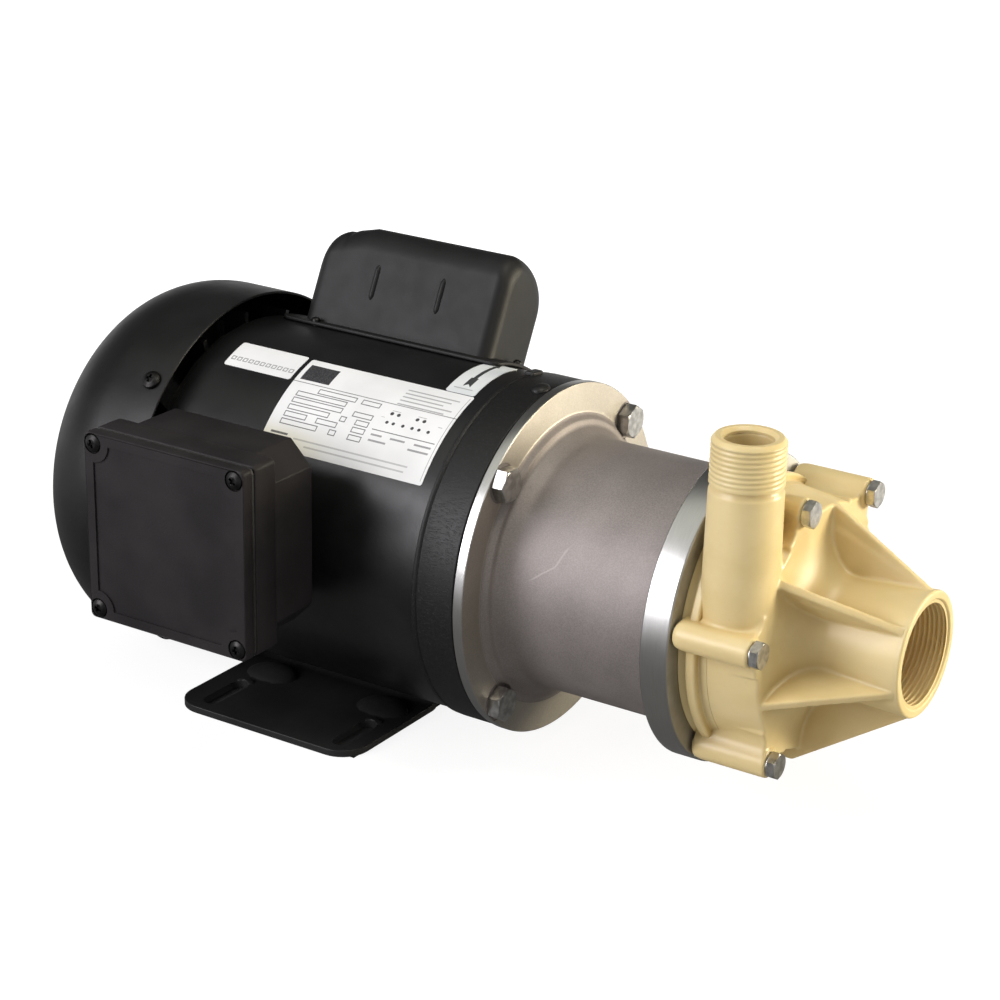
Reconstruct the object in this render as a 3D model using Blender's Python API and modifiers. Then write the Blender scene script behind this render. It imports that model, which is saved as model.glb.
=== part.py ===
"""Close-coupled magnetic drive pump on a foot-mounted 56C motor.

The shaft runs along X with the pump at +X, Z is up and the feet stand on Z = 0.
All pieces are laid out from the motor's C-face (x = 0) and hang under one empty
that puts the centre of the whole pump's footprint on the origin.
"""

import math

import bmesh
import bpy
from mathutils import Matrix, Vector

mm = 0.001

# Clearances
face_gap = 0.3 * mm
seat_gap = 0.3 * mm
bolt_gap = 0.35 * mm
can_gap = 0.8 * mm
overlap = 1.0 * mm
through = 10.0 * mm
weld_distance = 0.02 * mm

# Facets of round work
large_steps = 24
medium_steps = 16
small_steps = 12
screw_steps = 8
cradle_steps = 48

# Motor frame
shaft_height = 88.9 * mm
shell_radius = 80.5 * mm
shell_wall = 2.5 * mm
shell_rear = -173.0 * mm
shell_front = -22.0 * mm
spigot_depth = 9.0 * mm
spigot_wall = 4.0 * mm

# Motor face and its bolts
face_radius = 82.0 * mm
register_radius = 57.15 * mm
register_height = 4.0 * mm
face_bolt_circle = 74.6 * mm
face_bolt_radius = 4.6 * mm
face_bolt_flats = 14.3 * mm
face_bolt_head = 5.8 * mm
face_bolt_reach = 14.0 * mm
face_web_front = -3.0 * mm
face_web_rear = -10.0 * mm
face_web_radius = 44.0 * mm
face_lip_radius = 50.0 * mm
bearing_boss = 7.5 * mm
rear_web = 9.0 * mm
rear_web_radius = 58.0 * mm
face_bolt_angles = [math.radians(a) for a in (45.0, 135.0, 225.0, 315.0)]

# Shaft and bearings
shaft_radius = 7.94 * mm
shaft_end = 52.3 * mm
rotor_shaft_radius = 13.0 * mm
rotor_shaft_rear = -149.0 * mm
rear_shoulder_radius = 10.0 * mm
shaft_chamfer = 0.8 * mm
drive_bearing_bore = 8.5 * mm
drive_bearing_radius = 20.0 * mm
drive_bearing_width = 12.0 * mm
drive_bearing_seat = -13.0 * mm
rear_bearing_bore = 7.5 * mm
rear_bearing_radius = 17.5 * mm
rear_bearing_width = 11.0 * mm
rear_bearing_seat = -184.0 * mm
race_share = 0.28
rear_journal_end = -193.5 * mm
fan_journal_radius = 6.5 * mm
fan_journal_end = -227.0 * mm

# Rotor and stator
rotor_radius = 41.5 * mm
air_gap = 0.8 * mm
core_front = -50.0 * mm
core_rear = -125.0 * mm
end_ring_length = 9.0 * mm
winding_overhang = 20.0 * mm
slot_count = 8
slot_width = 12.0 * mm
slot_depth = 19.0 * mm
slot_mouth = 1.0 * mm
bar_depth = 11.0 * mm
bar_inset = 4.5 * mm
coil_wall = 14.0 * mm
end_ring_step = 2.0 * mm
end_ring_wall = 12.0 * mm

# Fan and fan cover
fan_cover_radius = 92.5 * mm
fan_cover_wall = 1.3 * mm
fan_cover_front = -172.0 * mm
fan_cover_shoulder = -200.0 * mm
fan_cover_rear = -243.0 * mm
fan_cover_flat = 55.0 * mm
grille_slots = 16
grille_inner = 20.0 * mm
grille_outer = 52.0 * mm
grille_slot_width = 4.6 * mm
fan_radius = 74.0 * mm
fan_plate = 2.5 * mm
fan_front = -203.0 * mm
fan_blade_height = 17.0 * mm
fan_blade_thickness = 2.2 * mm
fan_blades = 8
fan_hub_radius = 14.5 * mm
fan_hub_reach = 8.0 * mm
fin_count = 16
fin_thickness = 2.6 * mm
fin_length = 13.0 * mm
fin_drop = 7.0 * mm
fin_foot = 56.0 * mm
fin_setback = 3.5 * mm
lug_width = 13.0 * mm
cover_screw_x = -180.6 * mm
cover_screw_radius = 2.2 * mm
cover_screw_head = 4.6 * mm
cover_screw_length = 12.0 * mm
screw_head_height = 2.5 * mm
fan_cover_floor = 3.5 * mm
fan_cover_sweep = 118.0 * mm
screw_angles = [math.radians(a) for a in (45.0, 135.0, 225.0, 315.0)]

# Capacitor and its cover, leaning to the far side
capacitor_lean = math.radians(26.0)
capacitor_cover_rear = -157.5 * mm
capacitor_cover_front = -50.0 * mm
capacitor_cover_width = 39.0 * mm
capacitor_cover_top = 131.0 * mm
capacitor_cover_wall = 1.4 * mm
capacitor_cover_foot = 68.0 * mm
capacitor_side_round = 7.0 * mm
capacitor_rear_round = 14.0 * mm
capacitor_front_round = 8.0 * mm
capacitor_droop = 3.0 * mm
droop_start = -131.0 * mm
droop_end = -147.0 * mm
crown_peak = -8.0 * mm
crown_near = 13.0 * mm
crown_far = 19.0 * mm
capacitor_flange_width = 48.6 * mm
capacitor_flange_reach = 9.0 * mm
capacitor_radius = 17.0 * mm
capacitor_length = 82.0 * mm
capacitor_screw_inset = 5.0 * mm
capacitor_screw_head = 2.2 * mm
capacitor_screw_radius = 1.2 * mm
capacitor_screw_length = 7.0 * mm
capacitor_side_screw_x = -146.5 * mm
capacitor_side_screw = 21.8 * mm

# Conduit box on the near side
box_x = -111.0 * mm
box_z = 112.8 * mm
box_width = 88.0 * mm
box_rim_front = -133.0 * mm
box_rim_rear = -119.0 * mm
box_rear = -92.5 * mm
box_wall = 3.0 * mm
box_corner = 2.6 * mm
box_rear_cut = 11.0 * mm
box_neck_width = 50.0 * mm
box_neck_z = 96.0 * mm
box_neck_reach = 28.0 * mm
box_floor_wall = 4.0 * mm
box_body_inset = 1.0 * mm
lead_hole_radius = 10.0 * mm
gasket_thickness = 1.2 * mm
cover_thickness = 6.4 * mm
cover_recess = 0.6 * mm
cover_border = 8.0 * mm
cover_scallop = 9.5 * mm
cover_skin = 3.0 * mm
panel_corner = 1.5 * mm
window_inset = 6.0 * mm
window_cut = 14.5 * mm
box_screw_inset = 6.6 * mm
box_screw_radius = 2.0 * mm
box_screw_head = 4.2 * mm
box_screw_length = 14.0 * mm
box_boss_radius = 4.6 * mm

# Foot
foot_length = 108.0 * mm
foot_width = 165.0 * mm
foot_thickness = 3.5 * mm
foot_corner = 14.0 * mm
foot_bend = 41.0 * mm
foot_x = -105.7 * mm
cradle_half_width = 29.0 * mm
bend_offset = 3.5 * mm
slot_pitch_x = 76.2 * mm
slot_pitch_y = 123.8 * mm
foot_slot_length = 29.0 * mm
foot_slot_width = 9.0 * mm

# Pump adapter
flange_radius = 82.55 * mm
flange_thickness = 4.9 * mm
collar_radius = 65.7 * mm
collar_height = 2.6 * mm
spot_depth = 0.3 * mm
spot_radius = 9.2 * mm
barrel_radius = 58.7 * mm
barrel_fillet = 7.0 * mm
barrel_bore = 52.5 * mm
ring_rear = 87.8 * mm
ring_front = 101.2 * mm
ring_radius = 70.8 * mm
ring_chamfer = 0.8 * mm

# Containment can
can_flange_radius = 57.0 * mm
can_flange_thickness = 4.0 * mm
can_radius = 34.2 * mm
can_wall = 2.4 * mm
can_floor = 60.0 * mm
can_floor_thickness = 4.0 * mm
socket_radius = 9.5 * mm
socket_height = 7.0 * mm

# Outer drive magnet
hub_radius = 17.0 * mm
hub_rear = 12.0 * mm
hub_disc_rear = 43.5 * mm
hub_disc_front = 51.0 * mm
hub_cup_radius = 48.0 * mm
hub_cup_wall = 5.0 * mm
hub_cup_front = 95.0 * mm
hub_fillet = 2.0 * mm
magnet_rear = 66.0 * mm
magnet_front = 94.0 * mm
magnet_thickness = 6.0 * mm
magnet_poles = 10
magnet_slot = 0.9 * mm
key_width = 4.76 * mm
key_rear = 20.0 * mm
key_front = 46.0 * mm
set_screw_radius = 2.6 * mm
set_screw_x = 30.0 * mm
set_screw_length = 8.0 * mm

# Spindle, bushing and thrust washers
spindle_radius = 5.0 * mm
spindle_front = 131.0 * mm
spindle_seat = 59.2 * mm
bushing_radius = 9.0 * mm
washer_thickness = 3.0 * mm

# Impeller and inner magnet
capsule_radius = 30.4 * mm
capsule_front = 98.0 * mm
capsule_chamfer = 1.5 * mm
impeller_radius = 42.5 * mm
impeller_hub_radius = 14.0 * mm
shroud_rear = 104.0 * mm
shroud_thickness = 2.8 * mm
shroud_rim = 115.0 * mm
impeller_eye = 17.6 * mm
eye_wall = 2.2 * mm
eye_front = 132.0 * mm
eye_rear = 125.0 * mm
eye_round = 3.0 * mm
impeller_collar = 17.0 * mm
hub_front = 119.0 * mm
vane_count = 6
vane_thickness = 2.6 * mm
vane_sweep = math.radians(62.0)
vane_height = 16.0 * mm

# Front housing
housing_groove = 60.2 * mm
band_rear = 105.6 * mm
band_front = 110.4 * mm
band_radius = 62.8 * mm
band_chamfer = 0.9 * mm
drum_radius = 59.2 * mm
drum_front = 137.0 * mm
drum_front_radius = 55.6 * mm
flare_radius = 52.0 * mm
neck_x = 154.0 * mm
neck_radius = 26.6 * mm
suction_face = 188.6 * mm
suction_radius = 28.5 * mm
suction_bore = 22.7 * mm
suction_thread_depth = 24.0 * mm
throat_radius = 20.8 * mm
throat_rear = 140.0 * mm
eye_pocket_front = 136.5 * mm
eye_pocket_radius = 24.0 * mm
chamber_radius = 48.5 * mm
chamber_front = 127.0 * mm
chamber_round = 6.0 * mm
suction_chamfer = 0.9 * mm
o_ring_radius = 54.4 * mm
o_ring_section = 1.7 * mm
housing_bolt_circle = 64.5 * mm
housing_bolt_phase = math.radians(9.2)
housing_bolt_count = 6
housing_bolt_radius = 3.1 * mm
housing_bolt_flats = 11.1 * mm
housing_bolt_head = 4.4 * mm
housing_bolt_end = 90.0 * mm
boss_radius = 6.6 * mm
boss_front = 138.2 * mm
boss_web = 11.0 * mm
boss_web_reach = 8.0 * mm
rib_thickness = 4.2 * mm
rib_front = 186.0 * mm
rib_outer = 57.4 * mm
rib_rear = 121.0 * mm
rib_root = 24.7 * mm
rib_rear_root = 34.7 * mm
drum_round = 0.9 * mm
discharge_x = 120.8 * mm
discharge_y = -45.0 * mm
discharge_radius = 16.1 * mm
discharge_foot_radius = 17.0 * mm
discharge_draft_top = 163.0 * mm
discharge_bore = 10.5 * mm
discharge_top = 186.3 * mm
discharge_lip = 1.5 * mm
discharge_foot = 96.9 * mm
discharge_bore_foot = 102.9 * mm
spider_hub_radius = 8.6 * mm
spider_front = 147.0 * mm
spider_rear_vane = 134.5 * mm
spider_vanes = 3
spider_vane_thickness = 3.6 * mm


def clear_scene():
    for item in list(bpy.data.objects):
        bpy.data.objects.remove(item, do_unlink=True)


def make_collection(name):
    collection = bpy.data.collections.new(name)
    bpy.context.scene.collection.children.link(collection)
    return collection


clear_scene()
parts = make_collection("magnetic_drive_pump")
cutters = make_collection("cutters")
materials = {}


def make_material(name, colour, roughness, metallic):
    material = bpy.data.materials.new(name)
    material.use_nodes = True
    shader = material.node_tree.nodes["Principled BSDF"]
    shader.inputs["Base Color"].default_value = (*colour, 1.0)
    shader.inputs["Roughness"].default_value = roughness
    shader.inputs["Metallic"].default_value = metallic
    material.diffuse_color = (*colour, 1.0)
    materials[name] = material


make_material("black_paint", (0.012, 0.012, 0.014), 0.45, 0.0)
make_material("black_casting", (0.010, 0.010, 0.012), 0.6, 0.0)
make_material("black_plastic", (0.014, 0.013, 0.014), 0.55, 0.0)
make_material("cast_aluminium", (0.42, 0.40, 0.38), 0.5, 1.0)
make_material("cream_plastic", (0.80, 0.62, 0.36), 0.4, 0.0)
make_material("stainless", (0.62, 0.60, 0.56), 0.25, 1.0)
make_material("black_steel", (0.02, 0.02, 0.022), 0.4, 0.6)
make_material("bearing_steel", (0.55, 0.55, 0.55), 0.25, 1.0)
make_material("shaft_steel", (0.45, 0.45, 0.46), 0.3, 1.0)
make_material("lamination", (0.20, 0.20, 0.21), 0.5, 0.9)
make_material("copper", (0.70, 0.28, 0.12), 0.35, 0.9)
make_material("magnet", (0.16, 0.16, 0.17), 0.4, 0.8)
make_material("ceramic", (0.85, 0.84, 0.80), 0.2, 0.0)
make_material("carbon", (0.05, 0.05, 0.055), 0.5, 0.1)
make_material("rubber", (0.02, 0.02, 0.02), 0.8, 0.0)
make_material("capacitor_can", (0.03, 0.03, 0.035), 0.4, 0.1)


def make_empty(name, location, parent=None):
    empty = bpy.data.objects.new(name, None)
    empty.empty_display_size = 0.03
    empty.location = location
    empty.parent = parent
    parts.objects.link(empty)
    return empty


footprint_x = 0.5 * (fan_cover_rear + suction_face)
box_face = box_rim_front - 3.0 * face_gap - gasket_thickness - cover_thickness - screw_head_height
footprint_y = 0.5 * (box_face + fan_cover_radius)
assembly = make_empty("assembly", (-footprint_x, -footprint_y, 0.0))
motor_axis = make_empty("motor_axis", (0.0, 0.0, shaft_height), assembly)
impeller_axis = make_empty("impeller_axis", (0.0, 0.0, shaft_height), assembly)

along_shaft = (0.0, math.pi / 2.0, 0.0)


def put(name, mesh, location=(0.0, 0.0, 0.0), rotation=(0.0, 0.0, 0.0), tool=False):
    """Hang a mesh under the assembly, as a part or as a hidden tool."""
    item = bpy.data.objects.new(name, mesh)
    item.location = location
    item.rotation_euler = rotation
    item.parent = assembly
    if tool:
        cutters.objects.link(item)
        item.hide_render = True
        item.display_type = "WIRE"
    else:
        parts.objects.link(item)
    return item


def spin_with(item, axis):
    """Move a part from the assembly to the empty on its own turning axis."""
    item.parent = axis
    item.location = Vector(item.location) - Vector(axis.location)
    return item


def finish(item, material, smooth=True):
    if any(step.type == "BOOLEAN" for step in item.modifiers):
        weld = item.modifiers.new("Weld", "WELD")
        weld.merge_threshold = weld_distance
    item.data.materials.clear()
    item.data.materials.append(materials[material])
    if smooth:
        item.data.shade_smooth()
        item.data.set_sharp_from_angle(angle=math.radians(35.0))
    return item


def bake(item):
    """Replace an object's mesh by the result of its modifiers."""
    bpy.context.view_layer.update()
    graph = bpy.context.evaluated_depsgraph_get()
    mesh = bpy.data.meshes.new_from_object(item.evaluated_get(graph))
    item.modifiers.clear()
    item.data = mesh
    return item


def turned(name, profile, steps=medium_steps, closed=True, tool=False):
    """Turn a profile of (x, radius) points about the shaft axis.

    The points run down the outer side from the front to the rear. A closed profile
    is a ring, and an open one starts and ends on the axis.
    """
    mesh = bpy.data.meshes.new(name)
    points = [(radius, 0.0, x) for x, radius in profile]
    edges = [(i, i + 1) for i in range(len(points) - 1)]
    if closed:
        edges.append((len(points) - 1, 0))
    mesh.from_pydata(points, edges, [])
    item = put(name, mesh, (0.0, 0.0, shaft_height), along_shaft, tool)
    screw = item.modifiers.new("Turn", "SCREW")
    screw.axis = "Z"
    screw.steps = steps
    screw.render_steps = steps
    screw.use_merge_vertices = True
    screw.merge_threshold = 0.00001
    screw.use_normal_calculate = False
    return bake(item)


def ring(name, front, rear, outer, inner, steps=medium_steps, tool=False):
    profile = [(front, outer), (rear, outer), (rear, inner), (front, inner)]
    return turned(name, profile, steps, True, tool)


def rod(name, front, rear, radius, steps=small_steps, tool=False):
    profile = [(front, 0.0), (front, radius), (rear, radius), (rear, 0.0)]
    return turned(name, profile, steps, False, tool)


def cylinder(name, radius, length, centre, rotation=(0.0, 0.0, 0.0), steps=small_steps, tool=True):
    mesh = bpy.data.meshes.new(name)
    shape = bmesh.new()
    bmesh.ops.create_cone(shape, cap_ends=True, segments=steps, radius1=radius,
                          radius2=radius, depth=length)
    shape.to_mesh(mesh)
    shape.free()
    return put(name, mesh, centre, rotation, tool)


def box(name, size, centre, rotation=(0.0, 0.0, 0.0), tool=True):
    mesh = bpy.data.meshes.new(name)
    shape = bmesh.new()
    bmesh.ops.create_cube(shape, size=1.0, matrix=Matrix.Diagonal((*size, 1.0)))
    shape.to_mesh(mesh)
    shape.free()
    return put(name, mesh, centre, rotation, tool)


def prism(name, outline, thickness, centre=(0.0, 0.0, 0.0), rotation=(0.0, 0.0, 0.0), tool=True):
    """Extrude a flat outline of (x, y) points to both sides of its plane."""
    curve = bpy.data.curves.new(name, "CURVE")
    curve.dimensions = "2D"
    curve.fill_mode = "BOTH"
    curve.extrude = 0.5 * thickness
    spline = curve.splines.new("POLY")
    spline.points.add(len(outline) - 1)
    for point, (x, y) in zip(spline.points, outline):
        point.co = (x, y, 0.0, 1.0)
    spline.use_cyclic_u = True
    drawn = put(name + "_outline", curve, centre, rotation, tool)
    bpy.context.view_layer.update()
    graph = bpy.context.evaluated_depsgraph_get()
    mesh = bpy.data.meshes.new_from_object(drawn.evaluated_get(graph))
    shape = bmesh.new()
    shape.from_mesh(mesh)
    bmesh.ops.remove_doubles(shape, verts=shape.verts, dist=0.00001)
    shape.to_mesh(mesh)
    shape.free()
    bpy.data.objects.remove(drawn, do_unlink=True)
    return put(name, mesh, centre, rotation, tool)


def around(radius, angle, x=0.0):
    """A point at an angle about the shaft, measured from straight up toward +Y."""
    return (x, radius * math.sin(angle), shaft_height + radius * math.cos(angle))


def combine(item, tools, operation):
    for tool in tools:
        step = item.modifiers.new(operation.title(), "BOOLEAN")
        step.operation = operation
        step.solver = "EXACT"
        step.object = tool
    return item


def fuse(item, tools):
    return combine(item, tools, "UNION")


def cut(item, tools):
    return combine(item, tools, "DIFFERENCE")


def trim(item, tools):
    return combine(item, tools, "INTERSECT")


def rounded_rectangle(width, height, radius, arc_points=2):
    points = []
    corners = ((1, 1, 0.0), (-1, 1, 90.0), (-1, -1, 180.0), (1, -1, 270.0))
    for side_x, side_y, start in corners:
        centre_x = side_x * (0.5 * width - radius)
        centre_y = side_y * (0.5 * height - radius)
        for step in range(arc_points + 1):
            angle = math.radians(start + 90.0 * step / arc_points)
            points.append((centre_x + radius * math.cos(angle), centre_y + radius * math.sin(angle)))
    return points


def arc(centre_x, centre_r, radius_x, radius_r, start, end, count):
    """Points (x, radius) on an elliptical arc, angles in degrees from +x."""
    points = []
    for step in range(count + 1):
        angle = math.radians(start + (end - start) * step / count)
        points.append((centre_x + radius_x * math.cos(angle), centre_r + radius_r * math.sin(angle)))
    return points


def hex_bolt_mesh(flats, head, shank_radius, shank_length):
    """A bolt along +Z with the underside of its head at the origin."""
    head_item = cylinder("hex_head", flats / math.sqrt(3.0), head, (0.0, 0.0, 0.5 * head), steps=6)
    shank = cylinder("hex_shank", shank_radius, shank_length + 0.5 * head,
                     (0.0, 0.0, 0.25 * head - 0.5 * shank_length), steps=screw_steps)
    fuse(head_item, [shank])
    mesh = bake(head_item).data
    mesh.transform(Matrix.Translation((0.0, 0.0, 0.5 * head)))
    for item in (head_item, shank):
        bpy.data.objects.remove(item, do_unlink=True)
    return mesh


def pan_screw_mesh(head_radius, head_height, shank_radius, shank_length):
    """A pan-head screw along +Z with the underside of its head at the origin."""
    profile = [(head_height, 0.0), (head_height, head_radius * 0.75), (0.0, head_radius), (0.0, shank_radius),
               (-shank_length, shank_radius), (-shank_length, 0.0)]
    item = turned("pan_screw", profile, screw_steps, False, True)
    mesh = item.data
    bpy.data.objects.remove(item, do_unlink=True)
    return mesh


def build_motor_shell():
    item = ring("motor_shell", shell_front - face_gap, shell_rear, shell_radius,
                shell_radius - shell_wall, large_steps)
    hole = cylinder("shell_lead_hole", lead_hole_radius, 2.0 * through,
                    (box_x, -shell_radius, box_neck_z), (math.pi / 2.0, 0.0, 0.0))
    cut(item, [hole])
    finish(item, "black_paint")


def build_stator():
    core_radius = shell_radius - shell_wall - seat_gap
    bore = rotor_radius + air_gap
    core = ring("stator_core", core_front, core_rear, core_radius, bore, large_steps)
    length = core_front - core_rear
    middle = 0.5 * (core_front + core_rear)
    slot_middle = bore + 0.5 * slot_depth - slot_mouth
    bar_middle = bore + bar_inset + 0.5 * bar_depth
    slots = []
    bars = []
    for index in range(slot_count):
        angle = 2.0 * math.pi * index / slot_count
        slots.append(box("stator_slot", (length + through, slot_width, slot_depth),
                         around(slot_middle, angle, middle), (-angle, 0.0, 0.0)))
        bars.append(box("winding_bar", (length + winding_overhang, slot_width - 2.0 * seat_gap, bar_depth),
                        around(bar_middle, angle, middle), (-angle, 0.0, 0.0)))
    cut(core, slots)
    finish(core, "lamination")
    inner = bore + 3.0 * slot_mouth
    turn_front = core_front + face_gap
    turn_rear = core_rear - face_gap
    winding = ring("stator_winding", turn_front + winding_overhang, turn_front, inner + coil_wall, inner)
    rear_turns = ring("rear_end_turns", turn_rear, turn_rear - winding_overhang, inner + coil_wall, inner,
                      tool=True)
    fuse(winding, [rear_turns, *bars])
    finish(winding, "copper")


def bearing(name, bore, radius, width, front):
    outer = ring(name + "_outer_race", front, front - width, radius - seat_gap,
                 radius - race_share * (radius - bore))
    finish(outer, "bearing_steel")
    inner = ring(name + "_inner_race", front, front - width, bore + race_share * (radius - bore),
                 bore + seat_gap)
    finish(inner, "bearing_steel")
    spin_with(inner, motor_axis)


def build_drive_endshield():
    inside = shell_radius - shell_wall - seat_gap
    seat = drive_bearing_radius
    bore = shaft_radius + 2.0 * mm
    boss_rear = drive_bearing_seat - drive_bearing_width - face_gap
    profile = [
        (register_height, register_radius), (0.0, register_radius), (0.0, face_radius),
        (shell_front, face_radius), (shell_front, inside), (shell_front - spigot_depth, inside),
        (shell_front - spigot_depth, inside - spigot_wall), (face_web_rear, inside - spigot_wall),
        (face_web_rear, seat + bearing_boss), (boss_rear, seat + bearing_boss), (boss_rear, seat),
        (drive_bearing_seat, seat), (drive_bearing_seat, bore), (face_web_front, bore),
        (face_web_front, face_web_radius), (register_height, face_lip_radius),
    ]
    item = turned("drive_endshield", profile, large_steps)
    holes = []
    for angle in face_bolt_angles:
        holes.append(cylinder("face_tapped_hole", face_bolt_radius + bolt_gap,
                              2.0 * (face_bolt_reach + overlap),
                              around(face_bolt_circle, angle), along_shaft, screw_steps))
    cut(item, holes)
    finish(item, "black_casting")


def build_rear_endshield():
    inside = shell_radius - shell_wall - seat_gap
    rim = shell_rear - face_gap
    front = rim + spigot_depth
    seat = rear_bearing_radius
    back = rear_bearing_seat - spigot_wall
    bore = rear_bearing_bore + race_share * rear_bearing_bore
    profile = [
        (front, inside), (rim, inside), (rim, shell_radius - overlap),
        (rim - spigot_wall, shell_radius - 2.0 * overlap), (rim - rear_web, rear_web_radius),
        (back, seat + bearing_boss), (back, bore), (rear_bearing_seat, bore), (rear_bearing_seat, seat),
        (front, seat), (front, seat + bearing_boss), (rim - overlap, seat + bearing_boss),
        (rim - overlap, rear_web_radius), (front, inside - spigot_wall),
    ]
    item = turned("rear_endshield", profile, large_steps)
    inner_wall = (fan_cover_radius - fan_cover_wall) * math.cos(math.pi / large_steps)
    extras = []
    for index in range(fin_count):
        angle = 2.0 * math.pi * index / fin_count
        carries_screw = index % 4 == 2
        width = lug_width if carries_screw else fin_thickness
        top = inner_wall - 2.0 * seat_gap if carries_screw else inner_wall - fin_drop
        extras.append(box("endshield_fin", (fin_length, width, top - fin_foot),
                          around(0.5 * (top + fin_foot), angle, rim - fin_setback - 0.5 * fin_length),
                          (-angle, 0.0, 0.0)))
    fuse(item, extras)
    holes = []
    for angle in screw_angles:
        holes.append(cylinder("lug_hole", cover_screw_radius + bolt_gap, 2.0 * cover_screw_length,
                              around(inner_wall, angle, cover_screw_x), (-angle, 0.0, 0.0),
                              screw_steps))
    cut(item, holes)
    finish(item, "black_casting")


def fan_cover_solid(name, shrink, front, tool):
    """The cover's outer form, less a wall, with its bottom drawn in to clear the ground."""
    rear = fan_cover_rear + shrink
    depth = fan_cover_shoulder - rear
    height = fan_cover_radius - shrink - fan_cover_flat
    shoulder = arc(fan_cover_shoulder, fan_cover_flat, -depth, height, 90.0, 0.0, 4)
    profile = [(front, 0.0), (front, fan_cover_radius - shrink), *shoulder, (rear, 0.0)]
    item = turned(name, profile, large_steps, False, tool)
    sweep = cylinder(name + "_sweep", fan_cover_sweep - shrink, 2.0 * fan_cover_sweep,
                     (fan_cover_rear, 0.0, fan_cover_floor + fan_cover_sweep), along_shaft, 2 * cradle_steps)
    return trim(item, [sweep])


def build_fan_cover():
    item = fan_cover_solid("fan_cover", 0.0, fan_cover_front, False)
    inside = fan_cover_solid("fan_cover_inside", fan_cover_wall, fan_cover_front + through, True)
    cut(item, [inside])
    tools = []
    for index in range(grille_slots):
        angle = 2.0 * math.pi * index / grille_slots
        middle = 0.5 * (grille_inner + grille_outer)
        tools.append(box("grille_slot", (through, grille_slot_width, grille_outer - grille_inner),
                         around(middle, angle, fan_cover_rear), (-angle, 0.0, 0.0)))
    for angle in screw_angles:
        tools.append(cylinder("cover_hole", cover_screw_radius + bolt_gap, through,
                              around(fan_cover_radius, angle, cover_screw_x), (-angle, 0.0, 0.0),
                              screw_steps))
    cut(item, tools)
    finish(item, "black_paint")
    mesh = pan_screw_mesh(cover_screw_head, screw_head_height, cover_screw_radius, cover_screw_length)
    for index, angle in enumerate(screw_angles):
        screw = put("fan_cover_screw_%d" % (index + 1), mesh,
                    around(fan_cover_radius + face_gap, angle, cover_screw_x),
                    screw_turn(angle))
        finish(screw, "black_steel")


def screw_turn(angle):
    """Turn a turned screw mesh, whose axis is +Z, to point outward from the shaft."""
    return (-angle, 0.0, 0.0)


def build_fan():
    bore = fan_journal_radius + seat_gap
    hub_front = fan_front + fan_hub_reach
    hub_rear = fan_front - fan_blade_height
    profile = [(hub_front, fan_hub_radius), (fan_front, fan_hub_radius), (fan_front, fan_radius),
               (fan_front - fan_plate, fan_radius), (fan_front - fan_plate, fan_hub_radius),
               (hub_rear, fan_hub_radius), (hub_rear, bore), (hub_front, bore)]
    item = turned("cooling_fan", profile)
    blades = []
    inner = fan_hub_radius - overlap
    outer = fan_radius - 2.0 * overlap
    for index in range(fan_blades):
        angle = 2.0 * math.pi * (index + 0.5) / fan_blades
        depth = fan_blade_height - fan_plate
        blades.append(box("fan_blade", (depth, fan_blade_thickness, outer - inner),
                          around(0.5 * (inner + outer), angle,
                                 fan_front - fan_plate - 0.5 * (depth - overlap)), (-angle, 0.0, 0.0)))
    fuse(item, blades)
    finish(item, "black_plastic")
    spin_with(item, motor_axis)


def lean(x, out, side):
    """A point in the capacitor's leaning frame: along, outward and across."""
    angle = capacitor_lean
    return (x, out * math.sin(angle) + side * math.cos(angle),
            shaft_height + out * math.cos(angle) - side * math.sin(angle))


def rounded_over(radius, depth):
    """How far an edge of this radius stands back at a depth behind the end face."""
    inward = max(radius - depth, 0.0)
    return radius - math.sqrt(radius ** 2 - inward ** 2)


def crowned_outline(half, top, base):
    """End view of the capacitor cover: upright sides, a tight near corner and a long far slope."""
    far_slope = arc(crown_peak, top - crown_far, half - crown_peak, crown_far, 0.0, 90.0, 5)
    near_round = arc(crown_peak, top - crown_near, half + crown_peak, crown_near, 90.0, 180.0, 4)
    return [(half, base), *far_slope, *near_round[1:], (-half, base)]


def capacitor_solid(name, base, shrink, tool):
    """The capacitor cover as sections along the shaft, with rounded ends and a dropped rear top."""
    rear = capacitor_cover_rear + shrink
    front = capacitor_cover_front - shrink
    rear_round = capacitor_rear_round - shrink
    front_round = capacitor_front_round - shrink
    stations = [rear + share * rear_round for share in (0.0, 0.05, 0.18, 0.42)]
    stations += [droop_end, 0.5 * (droop_start + droop_end), droop_start]
    stations += [front - share * front_round for share in (1.0, 0.5, 0.13, 0.0)]
    points = []
    for x in stations:
        side = rounded_over(capacitor_side_round - shrink, min(x - rear, front - x))
        droop = capacitor_droop * min(max((droop_start - x) / (droop_start - droop_end), 0.0), 1.0)
        top = droop + rounded_over(rear_round, x - rear) + rounded_over(front_round, front - x)
        outline = crowned_outline(0.5 * capacitor_cover_width - shrink - side,
                                  capacitor_cover_top - shrink - top, base)
        points += [lean(x, out, across) for across, out in outline]
    count = len(outline)
    faces = [list(range(count)), list(reversed(range(len(points) - count, len(points))))]
    for start in range(0, len(points) - count, count):
        for index in range(count):
            following = (index + 1) % count
            faces.append((start + following, start + index, start + count + index, start + count + following))
    mesh = bpy.data.meshes.new(name)
    mesh.from_pydata(points, [], faces)
    shape = bmesh.new()
    shape.from_mesh(mesh)
    bmesh.ops.recalc_face_normals(shape, faces=shape.faces)
    shape.to_mesh(mesh)
    shape.free()
    return put(name, mesh, tool=tool)


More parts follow.
